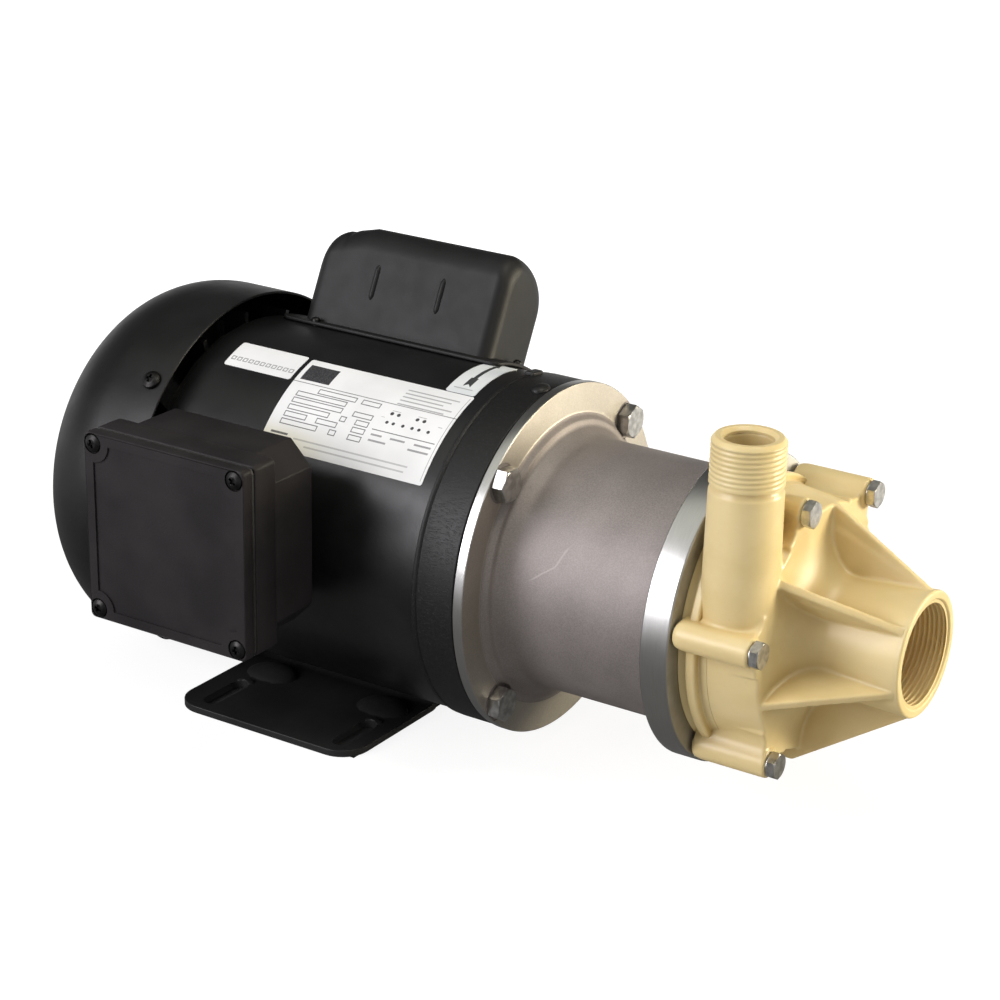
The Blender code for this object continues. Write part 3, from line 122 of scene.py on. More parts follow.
class Board:
    # a shader or geometry tree that is filled one node at a time
    def __init__(self, tree):
        self.tree = tree

    def node(self, kind, settings=None, sockets=None, out=0):
        made = self.tree.nodes.new(kind)
        for key, value in (settings or {}).items():
            setattr(made, key, value)
        for key, value in (sockets or {}).items():
            if isinstance(value, Wire):
                self.tree.links.new(value.socket, made.inputs[key])
            else:
                made.inputs[key].default_value = value
        return Wire(self, made.outputs[out])

    def end(self, kind, **sockets):
        made = self.tree.nodes.new(kind)
        for key, value in sockets.items():
            self.tree.links.new(value.socket, made.inputs[key])

    def also(self, wire, name):
        return Wire(self, wire.socket.node.outputs[name])

    def maths(self, operation, *values, clamp=False):
        return self.node("ShaderNodeMath", {"operation": operation, "use_clamp": clamp},
                         dict(enumerate(values)))

    def vector(self, operation, *values, out=0):
        return self.node("ShaderNodeVectorMath", {"operation": operation}, dict(enumerate(values)), out)

    def smooth(self, value, low, high):
        return self.node("ShaderNodeMapRange", {"interpolation_type": "SMOOTHSTEP"},
                         {"Value": value, "From Min": low, "From Max": high})

    def clamp(self, value):
        return self.maths("ADD", value, 0.0, clamp=True)

    def between(self, share, a, b):
        # one colour going over into another
        return self.node("ShaderNodeMix", {"data_type": "RGBA"}, {0: share, 6: a, 7: b}, 2)

    def blend(self, share, a, b):
        # the same for two plain values
        return self.node("ShaderNodeMix", {"data_type": "FLOAT"}, {0: share, 2: a, 3: b})


class Pattern(Board):
    # a geometry tree with named inputs, run once on a small object
    def __init__(self, name, inputs):
        super().__init__(bpy.data.node_groups.new(name, "GeometryNodeTree"))
        face = self.tree.interface
        face.new_socket("Geometry", in_out="INPUT", socket_type="NodeSocketGeometry")
        self.keys = {}
        for label, (kind, value) in inputs.items():
            item = face.new_socket(label, in_out="INPUT", socket_type="NodeSocket" + kind)
            if value is not None:
                item.default_value = value
            self.keys[label] = item.identifier
        face.new_socket("Geometry", in_out="OUTPUT", socket_type="NodeSocketGeometry")
        self.entry = self.tree.nodes.new("NodeGroupInput")

    def given(self, label):
        return Wire(self, self.entry.outputs[label])

    def close(self, geometry):
        real = self.node("GeometryNodeRealizeInstances", {}, {0: geometry})
        dressed = self.node("GeometryNodeSetMaterial", {},
                            {"Geometry": real, "Material": self.given("Material")})
        leave = self.tree.nodes.new("NodeGroupOutput")
        self.tree.links.new(dressed.socket, leave.inputs[0])

    def run(self, mesh, **values):
        host = linked("host", mesh)
        step = host.modifiers.new("Pattern", "NODES")
        step.node_group = self.tree
        for label, value in values.items():
            step[self.keys[label]] = value
        return baked(host)


def turningPattern():
    # a profile of (x, radius) points, held as a chain of vertices, turned about the x axis
    board = Pattern("turnedForm", {"Steps": ("Int", 96), "Height": ("Float", 88.9), "Material": ("Material",
                                                                                                 None)})
    profile = board.given("Geometry")
    count = board.node("GeometryNodeAttributeDomainSize", {}, {0: profile})
    across = board.given("Steps") + 1.0
    grid = board.node("GeometryNodeMeshGrid", {}, {"Vertices X": count, "Vertices Y": across})
    index = board.node("GeometryNodeInputIndex")
    row = board.maths("FLOOR", (index + 0.5) / across)
    column = index - row * across
    point = board.node("GeometryNodeInputPosition")
    sampled = board.node("GeometryNodeSampleIndex", {"data_type": "FLOAT_VECTOR", "domain": "POINT"},
                         {"Geometry": profile, "Value": point, "Index": row})
    along = board.node("ShaderNodeSeparateXYZ", {}, {0: sampled})
    radius = board.also(along, "Y")
    angle = column / board.given("Steps") * (2.0 * math.pi)
    place = board.node("ShaderNodeCombineXYZ", {}, {
        0: along, 1: radius * board.maths("SINE", angle),
        2: radius * board.maths("COSINE", angle) + board.given("Height")})
    moved = board.node("GeometryNodeSetPosition", {}, {"Geometry": grid, "Position": place})
    board.close(board.node("GeometryNodeMergeByDistance", {}, {"Geometry": moved, "Distance": 0.0005}))
    return board


def ringPattern():
    # copies of one fastener about the shaft, each turned with its place on the circle
    board = Pattern("fastenerRing", {
        "Fastener": ("Object", None), "Count": ("Int", 4), "Radius": ("Float", 70.0), "Along": ("Float", 0.0),
        "First Angle": ("Float", 0.0), "Height": ("Float", 88.9), "Material": ("Material", None)})
    points = board.node("GeometryNodeMeshLine", {"mode": "OFFSET"},
                        {"Count": board.given("Count"), "Offset": (0, 0, 0)})
    index = board.node("GeometryNodeInputIndex")
    angle = board.given("First Angle") + index / board.given("Count") * (2.0 * math.pi)
    place = board.node("ShaderNodeCombineXYZ", {}, {
        0: board.given("Along"), 1: board.given("Radius") * board.maths("SINE", angle),
        2: board.given("Radius") * board.maths("COSINE", angle) + board.given("Height")})
    moved = board.node("GeometryNodeSetPosition", {}, {"Geometry": points, "Position": place})
    source = board.node("GeometryNodeObjectInfo", {"transform_space": "ORIGINAL"},
                        {"Object": board.given("Fastener")})
    turn = board.node("ShaderNodeCombineXYZ", {}, {0: -angle, 1: 0.0, 2: 0.0})
    board.close(board.node("GeometryNodeInstanceOnPoints", {}, {
        "Points": moved, "Instance": board.also(source, "Geometry"), "Rotation": turn}))
    return board


def threadPattern():
    # a sleeve along z whose wall rises and falls once a turn, fading out at both ends
    board = Pattern("threadForm", {
        "Radius": ("Float", 16.0), "Back": ("Float", 13.0), "Depth": ("Float", 0.9), "Pitch": ("Float", 2.21),
        "Length": ("Float", 20.0), "Taper": ("Float", 0.03), "Rows": ("Int", 150), "Steps": ("Int", 128),
        "Start Fade": ("Float", 2.0), "End Fade": ("Float", 2.0), "Material": ("Material", None)})
    across = board.given("Steps") + 1.0
    rows = board.given("Rows")
    grid = board.node("GeometryNodeMeshGrid", {}, {"Vertices X": rows + 4.0, "Vertices Y": across})
    index = board.node("GeometryNodeInputIndex")
    row = board.maths("FLOOR", (index + 0.5) / across)
    column = index - row * across
    onWall = row < rows + 0.5
    onBack = (row > rows + 0.5) * (row < rows + 2.5)
    z = board.maths("DIVIDE", row, rows, clamp=True) * board.given("Length") * (row < rows + 1.5)
    turn = column / board.given("Steps")
    phase = board.maths("FRACT", z / board.given("Pitch") - turn + 50.0)
    valley = board.smooth(board.maths("ABSOLUTE", phase * 2.0 - 1.0), 0.1, 0.9)
    fade = (board.maths("DIVIDE", z, board.given("Start Fade"), clamp=True)
            * board.maths("DIVIDE", board.given("Length") - z, board.given("End Fade"), clamp=True))
    front = board.given("Radius") - board.given("Taper") * z - valley * board.given("Depth") * fade * onWall
    radius = front + onBack * (board.given("Back") - front)
    angle = turn * (2.0 * math.pi)
    place = board.node("ShaderNodeCombineXYZ", {}, {
        0: radius * board.maths("COSINE", angle), 1: radius * board.maths("SINE", angle), 2: z})
    moved = board.node("GeometryNodeSetPosition", {}, {"Geometry": grid, "Position": place})
    board.close(board.node("GeometryNodeMergeByDistance", {}, {"Geometry": moved, "Distance": 0.0005}))
    return board


turning = turningPattern()
ringOf = ringPattern()
threading = threadPattern()


def outward(mesh):
    # doubles merged, then every face turned to the outside
    work = bmesh.new()
    work.from_mesh(mesh)
    bmesh.ops.remove_doubles(work, verts=work.verts, dist=0.0004)
    bmesh.ops.dissolve_degenerate(work, edges=work.edges, dist=0.0002)
    bmesh.ops.recalc_face_normals(work, faces=work.faces)
    work.to_mesh(mesh)
    work.free()
    return mesh


def filleted(points, closed=True, turnStep=9.0):
    # a chain of (a, b) points, where a third number rounds the corner to that radius
    result = []
    count = len(points)
    for i, point in enumerate(points):
        here = Vector(point[:2])
        radius = point[2] if len(point) > 2 else 0.0
        if radius <= 0.0 or (not closed and i in (0, count - 1)):
            result.append((here.x, here.y))
            continue
        before = Vector(points[i - 1][:2]) - here
        after = Vector(points[(i + 1) % count][:2]) - here
        corner = before.angle(after)
        reach = min(radius / math.tan(0.5 * corner), 0.48 * before.length, 0.48 * after.length)
        radius = reach * math.tan(0.5 * corner)
        middle = here + (before.normalized() + after.normalized()).normalized() * radius / math.sin(0.5 * corner)
        start = here + before.normalized() * reach - middle
        end = here + after.normalized() * reach - middle
        first = math.atan2(start.y, start.x)
        sweep = (math.atan2(end.y, end.x) - first + math.pi) % (2.0 * math.pi) - math.pi
        cuts = max(2, math.ceil(abs(math.degrees(sweep)) / turnStep))
        for k in range(cuts + 1):
            angle = first + sweep * k / cuts
            result.append((middle.x + radius * math.cos(angle), middle.y + radius * math.sin(angle)))
    return result


def bow(centreX, centreY, radiusX, radiusY, start, end, cuts):
    # points on an ellipse, angles in degrees
    angles = [math.radians(start + (end - start) * k / cuts) for k in range(cuts + 1)]
    return [(centreX + radiusX * math.cos(a), centreY + radiusY * math.sin(a)) for a in angles]


def turned(points, closed=True, steps=None, height=None, material=None):
    # a turned solid from (x, radius) points
    chain = [(x, radius, 0.0) for x, radius in points]
    if closed:
        chain.append(chain[0])
    mesh = meshOf("profile", chain, [], [(i, i + 1) for i in range(len(chain) - 1)])
    height = layout["shaftHeight"] if height is None else height
    return outward(turning.run(mesh, Steps=steps or layout["steps"], Height=float(height), Material=material))


def prism(points, place):
    # a solid between two outlines, the points of the second listed after those of the first
    count = len(points) // 2
    faces = [tuple(range(count)), tuple(range(count, 2 * count))]
    faces += [(i, (i + 1) % count, count + (i + 1) % count, count + i) for i in range(count)]
    mesh = meshOf("prism", points, faces)
    if place is not None:
        mesh.transform(place)
    return outward(mesh)


def extruded(outline, low, high, place=None):
    # a prism on an outline of (a, b) points, between two depths
    return prism([(a, b, depth) for depth in (low, high) for a, b in outline], place)


def disc(centreX, centreY, radius, cuts):
    # the outline of a full circle
    return bow(centreX, centreY, radius, radius, 0.0, 360.0, cuts)[:-1]


def ringFaces(rows, count):
    # the faces between neighbouring rings of points
    faces = []
    for r in range(rows - 1):
        for k in range(count):
            j = (k + 1) % count
            faces.append((r * count + k, r * count + j, (r + 1) * count + j, (r + 1) * count + k))
    return faces


def joined(meshes):
    # several meshes as one
    work = bmesh.new()
    for mesh in meshes:
        work.from_mesh(mesh)
    result = bpy.data.meshes.new("joined")
    work.to_mesh(result)
    work.free()
    return result


def worked(mesh, *steps):
    # a mesh with modifiers applied, each given as its kind and its settings
    host = linked("host", mesh)
    for kind, settings in steps:
        step = host.modifiers.new(kind, kind)
        for key, value in settings.items():
            setattr(step, key, value)
    return baked(host)


def softened(mesh, width, cuts=3, angle=35.0):
    # edges rounded, with flat faces kept flat in the light
    for polygon in mesh.polygons:
        polygon.use_smooth = True
    return worked(mesh, ("BEVEL", {
        "width": width, "segments": cuts, "limit_method": "ANGLE", "angle_limit": math.radians(angle),
        "harden_normals": True, "use_clamp_overlap": True, "miter_outer": "MITER_ARC"}))


def combined(mesh, tools, operation="DIFFERENCE"):
    # an exact cut with one or more other meshes, or what the mesh shares with them
    helper = linked("tool", joined(tools))
    result = worked(mesh, ("BOOLEAN", {
        "operation": operation, "object": helper, "solver": "EXACT", "use_self": len(tools) > 1}))
    bpy.data.objects.remove(helper, do_unlink=True)
    return result


def mound(place, size, cuts=40):
    # a soft rounded swelling, half sunk where it stands
    work = bmesh.new()
    bmesh.ops.create_uvsphere(work, u_segments=cuts, v_segments=cuts // 2, radius=1.0)
    bmesh.ops.scale(work, vec=size, verts=work.verts)
    mesh = bpy.data.meshes.new("mound")
    work.to_mesh(mesh)
    work.free()
    mesh.transform(place)
    return mesh


def piece(name, mesh, finish, nodes=(), body="frame", crease=32.0, level=False):
    # a finished piece: moved to the frame, shaded, dressed and riding on its body
    mesh.transform(toFrame)
    mesh.name = name
    for polygon in mesh.polygons:
        polygon.use_smooth = True
        polygon.material_index = 0
    if crease:
        mesh.set_sharp_from_angle(angle=math.radians(crease))
    if level:
        # large flat faces set the normals of the small ones beside them
        mesh = worked(mesh, ("WEIGHTED_NORMAL", {"weight": 100, "keep_sharp": True}))
        mesh.name = name
    mesh.materials.clear()
    mesh.materials.append(finish)
    item = linked(name, mesh)
    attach(item, body)
    if nodes:
        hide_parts(*nodes)
    mesh.calc_loop_triangles()
    print("piece", name, len(mesh.loop_triangles))
    return item


class Finish(Board):
    # a material on the piece's own coordinates, in millimetres from the shaft at the motor's face
    def __init__(self, name, **constants):
        self.material = bpy.data.materials.new(name)
        self.material.use_nodes = True
        super().__init__(self.material.node_tree)
        self.tree.nodes.clear()
        coords = self.node("ShaderNodeTexCoord", out=3)
        self.place = self.node("ShaderNodeMapping", {}, {
            "Vector": coords, "Scale": (1000.0, 1000.0, 1000.0),
            "Location": (-layout["offsetX"], -layout["offsetY"], -layout["shaftHeight"])})
        self.x = self.node("ShaderNodeSeparateXYZ", {}, {0: self.place})
        self.y = self.also(self.x, "Y")
        self.z = self.also(self.x, "Z")
        self.shader = self.tree.nodes.new("ShaderNodeBsdfPrincipled")
        for key, value in constants.items():
            self.shader.inputs[key.replace("_", " ")].default_value = value

    def radius(self):
        return self.maths("SQRT", self.y * self.y + self.z * self.z)

    def noise(self, size, detail=3.0, stretch=None, roughness=0.5):
        # noise about 0.5, its grain in millimetres
        where = self.place
        if stretch is not None:
            where = self.vector("MULTIPLY", self.place, stretch)
        return self.node("ShaderNodeTexNoise", {}, {
            "Vector": where, "Scale": 1.0 / size, "Detail": detail, "Roughness": roughness})

    def bump(self, height, depth, strength=1.0, under=None):
        # depth in millimetres
        sockets = {"Height": height, "Distance": depth * millimetre, "Strength": strength}
        if under is not None:
            sockets["Normal"] = under
        return self.node("ShaderNodeBump", {}, sockets)

    def close(self, colour, roughness, metallic, normal):
        for key, wire in (("Base Color", colour), ("Roughness", roughness), ("Metallic", metallic),
                          ("Normal", normal)):
            if wire is not None:
                self.tree.links.new(wire.socket, self.shader.inputs[key])
        out = self.tree.nodes.new("ShaderNodeOutputMaterial")
        self.tree.links.new(self.shader.outputs[0], out.inputs[0])
        return self.material


def tone(red, green, blue):
    return (red, green, blue, 1.0)


def blackPaint(name, dark, light, roughness, peel=0.05, peelSize=1.6, shine=0.28):
    # satin enamel: slight orange peel, clouded gloss and a little dust
    look = Finish(name, Specular_IOR_Level=shine)
    cloud = look.noise(38.0, 3.0)
    speck = look.noise(0.7, 2.0)
    dust = look.smooth(speck, 0.62, 0.78) * 0.35
    share = look.clamp(look.smooth(cloud, 0.3, 0.72) * 0.7 + dust)
    gloss = roughness + (look.noise(9.0, 4.0) - 0.5) * 0.16 + dust * 0.2
    ripple = look.bump(look.noise(peelSize, 2.0), peel, 0.6)
    return look.close(look.between(share, dark, light), gloss, None, look.bump(speck, 0.012, 0.5, ripple))


def castBlack(name):
    # painted iron: fine pebbly skin, faint tool scratches along the shaft
    look = Finish(name, Specular_IOR_Level=0.34)
    grain = look.noise(1.1, 4.0, roughness=0.6)
    lumps = look.noise(6.0, 3.0)
    strokes = look.noise(0.5, 2.0, (0.16, 2.2, 2.2))
    high = look.smooth(grain, 0.55, 0.75)
    colour = look.between(high, tone(0.0065, 0.0065, 0.007), tone(0.02, 0.0195, 0.0195))
    height = grain * 0.3 + lumps * 0.3 + look.smooth(strokes, 0.55, 0.7) * 0.35
    return look.close(colour, 0.4 + grain * 0.14, None, look.bump(height, 0.16, 0.6))


def blackPlastic(name):
    # moulded box plastic: fine leathery grain, brownish black
    look = Finish(name, Specular_IOR_Level=0.22)
    cells = look.node("ShaderNodeTexVoronoi", {"feature": "F1"}, {"Vector": look.place, "Scale": 1.5})
    grain = look.noise(0.55, 3.0)
    cloud = look.noise(30.0, 2.0)
    colour = look.between(look.smooth(cloud, 0.3, 0.7), tone(0.0105, 0.0092, 0.0102),
                          tone(0.018, 0.0158, 0.0172))
    height = cells * 0.5 + grain * 0.5
    return look.close(colour, 0.46 + grain * 0.16, None, look.bump(height, 0.06, 0.7))


def creamPlastic(name):
    # moulded cream polymer: painted shade, darker and deeper orange in the recesses where the light can't reach,
    # with faint flow marks and small specks
    look = Finish(name, Specular_IOR_Level=0.5, Subsurface_Weight=0.12, Subsurface_Scale=0.004,
                  Subsurface_Radius=(1.0, 0.6, 0.25))
    recessOcclusion = look.node("ShaderNodeAmbientOcclusion", {"samples": 6, "only_local": True}, {"Distance": 0.02}, 1)
    flow = look.noise(16.0, 4.0, (0.5, 1.0, 1.0))
    fine = look.noise(0.9, 3.0)
    body = look.between(look.smooth(flow, 0.3, 0.7), tone(0.645, 0.512, 0.256), tone(0.695, 0.566, 0.302))
    # painted shade: the ambient occlusion darkens the colour in recesses and creases
    paintedShade = look.between(look.smooth(recessOcclusion, 0.24, 0.96), tone(0.5, 0.34, 0.12), body)
    speck = look.smooth(look.noise(1.1, 1.0), 0.76, 0.79) * 0.22
    colour = look.between(speck, paintedShade, tone(0.42, 0.27, 0.11))
    gloss = 0.36 + (flow - 0.5) * 0.18 + (fine - 0.5) * 0.1
    return look.close(colour, gloss, None, look.bump(fine, 0.025, 0.6, look.bump(look.noise(6.0, 2.0), 0.12,
                                                                                 0.4)))


def castAluminium(name):
    # sand-cast skin with one faint casting scar, a painted warm light on the flange face, and bare turned metal
    # on the ring and the rims
    look = Finish(name)
    radius = look.radius()
    turnedPart = look.clamp((look.x > 87.9) + (radius > 82.3) * (look.x < 5.4))
    grain = look.noise(0.6, 4.0, roughness=0.6)
    lump = look.noise(4.5, 3.0)
    blotch = look.noise(26.0, 4.0)
    pale = look.clamp(look.smooth(grain, 0.36, 0.66) * 0.6 + look.smooth(blotch, 0.3, 0.75) * 0.4)
    skin = look.between(pale, tone(0.215, 0.193, 0.187), tone(0.325, 0.293, 0.284))
    # painted light: the flange face takes a lighter, warmer copy of the cast skin in place of the warm lamp's
    # light
    paintedLightFlangeFace = (look.x < 5.6) * (look.x > 4.9) * (radius > 68.6) * (1.0 - turnedPart)
    skin = look.between(paintedLightFlangeFace * 0.7, skin, look.between(pale, tone(0.48, 0.445, 0.385), tone(0.62, 0.578,
                                                                                                  0.50)))
    pits = look.smooth(look.noise(1.3, 2.0), 0.7, 0.76)
    skin = look.between(pits * 0.35, skin, tone(0.14, 0.122, 0.116))
    angle = look.maths("ARCTAN2", look.y, look.z) * math.degrees(1.0)
    wander = (look.noise(7.0, 2.0) - 0.5) * 1.2
    # the scar's path round the barrel: along, then turning up
    path = look.maths("MINIMUM", 34.9 + (angle + 69.3) * 1.37, 34.9 + (angle + 69.3) * 0.45)
    bent = look.maths("ABSOLUTE", look.x - path + wander) * (1.0 + (angle > -69.3) * 0.3)
    scar = (1.0 - look.smooth(bent, 0.25, 1.0)) * look.smooth(angle, -78.5, -76.0) * look.smooth(angle, -58.5,
                                                                                                 -61.0)
    scar = scar * (1.0 - turnedPart)
    lathe = look.noise(0.3, 2.0, (4.0, 0.04, 0.04))
    drift = look.noise(14.0, 2.0)
    bare = look.between(look.smooth(lathe, 0.3, 0.7), tone(0.43, 0.428, 0.42), tone(0.5, 0.497, 0.488))
    colour = look.between(turnedPart, look.between(scar * 0.3, skin, tone(0.5, 0.46, 0.44)), bare)
    face = (look.x > 101.1) * 0.22
    castGloss = 0.6 - paintedLightFlangeFace * 0.16 + (grain - 0.5) * 0.2
    bareGloss = 0.31 + face + (lathe - 0.5) * 0.08 + (drift - 0.5) * 0.08
    gloss = look.blend(turnedPart, castGloss, bareGloss)
    metal = look.blend(turnedPart, 0.62 + paintedLightFlangeFace * 0.3, 1.0)
    rough = (grain * 0.4 + lump * 0.5 - pits * 0.25 + scar * 0.4) * (1.0 - turnedPart)
    normal = look.bump(lathe * turnedPart, 0.008, 0.4, look.bump(rough, 0.2, 0.6))
    return look.close(colour, gloss, metal, normal)


def brightSteel(name, pale=(0.56, 0.55, 0.53), roughness=0.33):
    # rolled stainless: faint scratches and handling marks
    look = Finish(name, Metallic=1.0)
    scratch = look.noise(0.6, 3.0, (0.2, 2.0, 0.6))
    mark = look.noise(3.4, 3.0)
    dark = tone(*(v * 0.62 for v in pale))
    colour = look.between(look.smooth(mark, 0.32, 0.66), dark, tone(*pale))
    return look.close(colour, roughness + (scratch - 0.5) * 0.14, None, look.bump(scratch, 0.006, 0.4))


def plainFinish(name, dark, light, roughness, metallic=0.0, size=2.0, depth=0.05, stretch=None):
    # an inner piece: clouded colour and gloss over a fine grain
    look = Finish(name, Metallic=metallic)
    grain = look.noise(size, 3.0, stretch)
    colour = look.between(look.smooth(grain, 0.3, 0.7), dark, light)
    return look.close(colour, roughness + (grain - 0.5) * 0.2, None, look.bump(grain, depth, 0.6))


def printedLabel(name, span, marks, dots=(), wash=None):
    # a pale foil label with ruled lines and boxes but no lettering. A mark is left, top, right, bottom in
    # millimetres from the label's upper corner, its darkness, and the width of its rule if it's hollow.
    look = Finish(name, Specular_IOR_Level=0.4)
    u = look.x - span["left"]
    v = span["top"] - look.maths("ARCTAN2", look.y, look.z) * motor["radius"]
    ink = None
    for left, top, right, bottom, dark, *rule in marks:
        mark = (u > left) * (u < right) * (v > top) * (v < bottom)
        if rule:
            w = rule[0]
            mark = mark - (u > left + w) * (u < right - w) * (v > top + w) * (v < bottom - w)
        mark = mark * dark
        ink = mark if ink is None else look.maths("MAXIMUM", ink, mark)
    for cu, cv, size in dots:
        du = u - cu
        dv = v - cv
        ink = look.maths("MAXIMUM", ink, (du * du + dv * dv < size * size) * 0.95)
    mottle = look.noise(0.5, 2.0)
    cloud = look.noise(22.0, 2.0)
    paper = look.between(look.smooth(cloud, 0.3, 0.7), tone(0.675, 0.685, 0.70), tone(0.735, 0.745, 0.76))
    if wash:
        share = look.smooth(v, wash["from"], wash["to"]) * look.smooth(u, wash["right"], wash["left"])
        paper = look.between(share * 0.7, paper, tone(0.62, 0.58, 0.36))
    worn = look.clamp(ink * (1.0 + (mottle - 0.5) * 0.4))
    colour = look.between(worn, paper, tone(0.02, 0.02, 0.024))
    return look.close(colour, 0.4 + mottle * 0.1, None, look.bump(cloud, 0.08, 0.4))


finishes = {
    "shell": blackPaint("shellEnamel", tone(0.0045, 0.0045, 0.005), tone(0.011, 0.011, 0.012), 0.37,
                        shine=0.42),
    "cover": blackPaint("coverEnamel", tone(0.005, 0.005, 0.0052), tone(0.012, 0.012, 0.0125), 0.4, 0.06,
                        2.2),
    "cap": blackPaint("capacitorCoverEnamel", tone(0.006, 0.006, 0.0065), tone(0.012, 0.012, 0.013), 0.52),
    "foot": blackPaint("footEnamel", tone(0.012, 0.012, 0.0123), tone(0.024, 0.024, 0.0245), 0.44, 0.07, 3.0),
    "casting": castBlack("endshieldCasting"),
    "box": blackPlastic("boxPlastic"),
    "cream": creamPlastic("housingPolymer"),
    "adapter": castAluminium("adapterCasting"),
    "bolt": brightSteel("boltStainless"),
    "screw": brightSteel("screwSteel", (0.035, 0.034, 0.034), 0.42),
}

innerFinishes = {
    "lamination": plainFinish("laminationSteel", tone(0.16, 0.16, 0.17), tone(0.25, 0.25, 0.26), 0.4, 0.9,
                              0.6, 0.04,
                              (4.0, 0.1, 0.1)),
    "copper": plainFinish("windingCopper", tone(0.45, 0.16, 0.06), tone(0.62, 0.26, 0.11), 0.35, 0.9, 1.4,
                          0.2),
    "steel": plainFinish("shaftSteel", tone(0.42, 0.42, 0.42), tone(0.55, 0.55, 0.55), 0.28, 1.0, 0.8, 0.02,
                         (5.0, 0.2, 0.2)),
    "rotor": plainFinish("rotorIron", tone(0.2, 0.19, 0.18), tone(0.33, 0.32, 0.31), 0.45, 0.8, 1.5, 0.06),
    "fan": plainFinish("fanPolymer", tone(0.012, 0.012, 0.012), tone(0.024, 0.024, 0.024), 0.5, 0.0, 1.2,
                       0.06),
    "endBell": castBlack("rearEndshieldCasting"),
    "hub": plainFinish("hubIron", tone(0.12, 0.115, 0.11), tone(0.2, 0.195, 0.19), 0.42, 0.85, 1.6, 0.07),
    "magnet": plainFinish("magnetFerrite", tone(0.05, 0.05, 0.055), tone(0.1, 0.1, 0.105), 0.4, 0.3, 1.8,
                          0.05),
    "wet": plainFinish("impellerPolymer", tone(0.70, 0.52, 0.24), tone(0.76, 0.59, 0.30), 0.42, 0.0, 3.0,
                       0.06),
    "ceramic": plainFinish("spindleCeramic", tone(0.78, 0.77, 0.72), tone(0.86, 0.85, 0.81), 0.22, 0.0, 1.5,
                           0.02),
    "carbon": plainFinish("bushingCarbon", tone(0.02, 0.02, 0.021), tone(0.05, 0.05, 0.052), 0.36, 0.2, 1.0,
                          0.04),
    "rubber": plainFinish("sealRubber", tone(0.012, 0.012, 0.012), tone(0.028, 0.028, 0.028), 0.62, 0.0, 1.0,
                          0.05),
    "can": plainFinish("capacitorCan", tone(0.5, 0.5, 0.51), tone(0.62, 0.62, 0.63), 0.34, 0.9, 2.5, 0.05),
}
innerNodes = {
    "stator_core": "lamination", "stator_winding": "copper", "rear_endshield": "endBell",
    "drive_bearing_outer_race": "steel", "drive_bearing_inner_race": "steel",
    "rear_bearing_outer_race": "steel", "rear_bearing_inner_race": "steel", "motor_shaft": "steel",
    "rotor_core": "rotor", "cooling_fan": "fan", "capacitor": "can", "conduit_gasket": "rubber",
    "drive_magnet_hub": "hub", "hub_key": "steel", "hub_set_screw": "steel", "drive_magnets": "magnet",
    "containment_can": "wet", "housing_o_ring": "rubber", "spindle": "ceramic",
    "rear_thrust_washer": "ceramic", "front_thrust_washer": "ceramic", "inner_magnet_capsule": "wet",
    "impeller_bushing": "carbon", "impeller": "wet",
}
for node, key in innerNodes.items():
    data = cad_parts[node].data
    data.materials.clear()
    data.materials.append(innerFinishes[key])
print("finishes ready")


# the seat is the radius on which other pieces sit
motor = {"rear": -173.0, "front": -22.0, "radius": 80.5, "wall": 1.6, "seat": 80.8}


def motorShell():
    inner = motor["radius"] - motor["wall"]
    points = filleted([
        (motor["rear"], inner), (motor["rear"], motor["radius"], 0.5),
        (motor["front"], motor["radius"], 0.2), (motor["front"], inner)])
    mesh = turned(points, material=finishes["shell"])
    return piece("motorShell", mesh, finishes["shell"], ["motor_shell"])


band = {"radius": 82.0, "groove": -19.2, "grooveWidth": 0.35, "grooveDepth": 0.2, "register": 57.15}


def driveEndshield():
    r = band["radius"]
    low = r - band["grooveDepth"]
    g = band["groove"]
    w = 0.5 * band["grooveWidth"]
    points = filleted([
        (-31.0, 75.5), (-31.0, 79.7, 0.6), (-22.2, 79.9), (-22.2, r - 0.2, 0.5), (g - w, r - 0.1),
        (g - w, low), (g + w, low),
        (g + w, r, 0.3), (-0.3, r, 0.9), (-0.3, 80.6), (0.0, 80.6), (0.0, band["register"]),
        (4.0, band["register"], 0.6),
        (4.0, 50.4), (-3.0, 50.4, 1.0), (-3.0, 13.4), (-10.0, 13.4), (-10.0, 21.0), (-26.0, 21.0, 0.5),
        (-26.0, 27.0, 0.5),
        (-11.0, 28.0, 3.0), (-11.0, 75.5, 4.0)])
    mesh = turned(points, material=finishes["casting"])
    lug = mound(spoke(-4.5, r, -5.0), (4.2, 5.0, 2.4))
    tab = softened(extruded([(-2.4, -4.2), (2.4, -4.2), (2.4, 4.2), (-2.4, 4.2)], -3.0, 1.4,
                            spoke(-20.0, r, 8.0)), 0.7, 2)
    mesh = joined([mesh, lug, tab])
    return piece("driveEndshield", mesh, finishes["casting"], ["drive_endshield"])


fanCoverSizes = {
    "front": -172.0, "shoulder": -200.0, "rear": -243.0, "radius": 92.5, "flat": 55.0, "wall": 1.3,
    "floor": 3.5,
    "sweep": 106.0, "slots": 16, "slotInner": 20.0, "slotOuter": 52.0, "slotWidth": 4.6,
    "drawnFrom": 60.0}


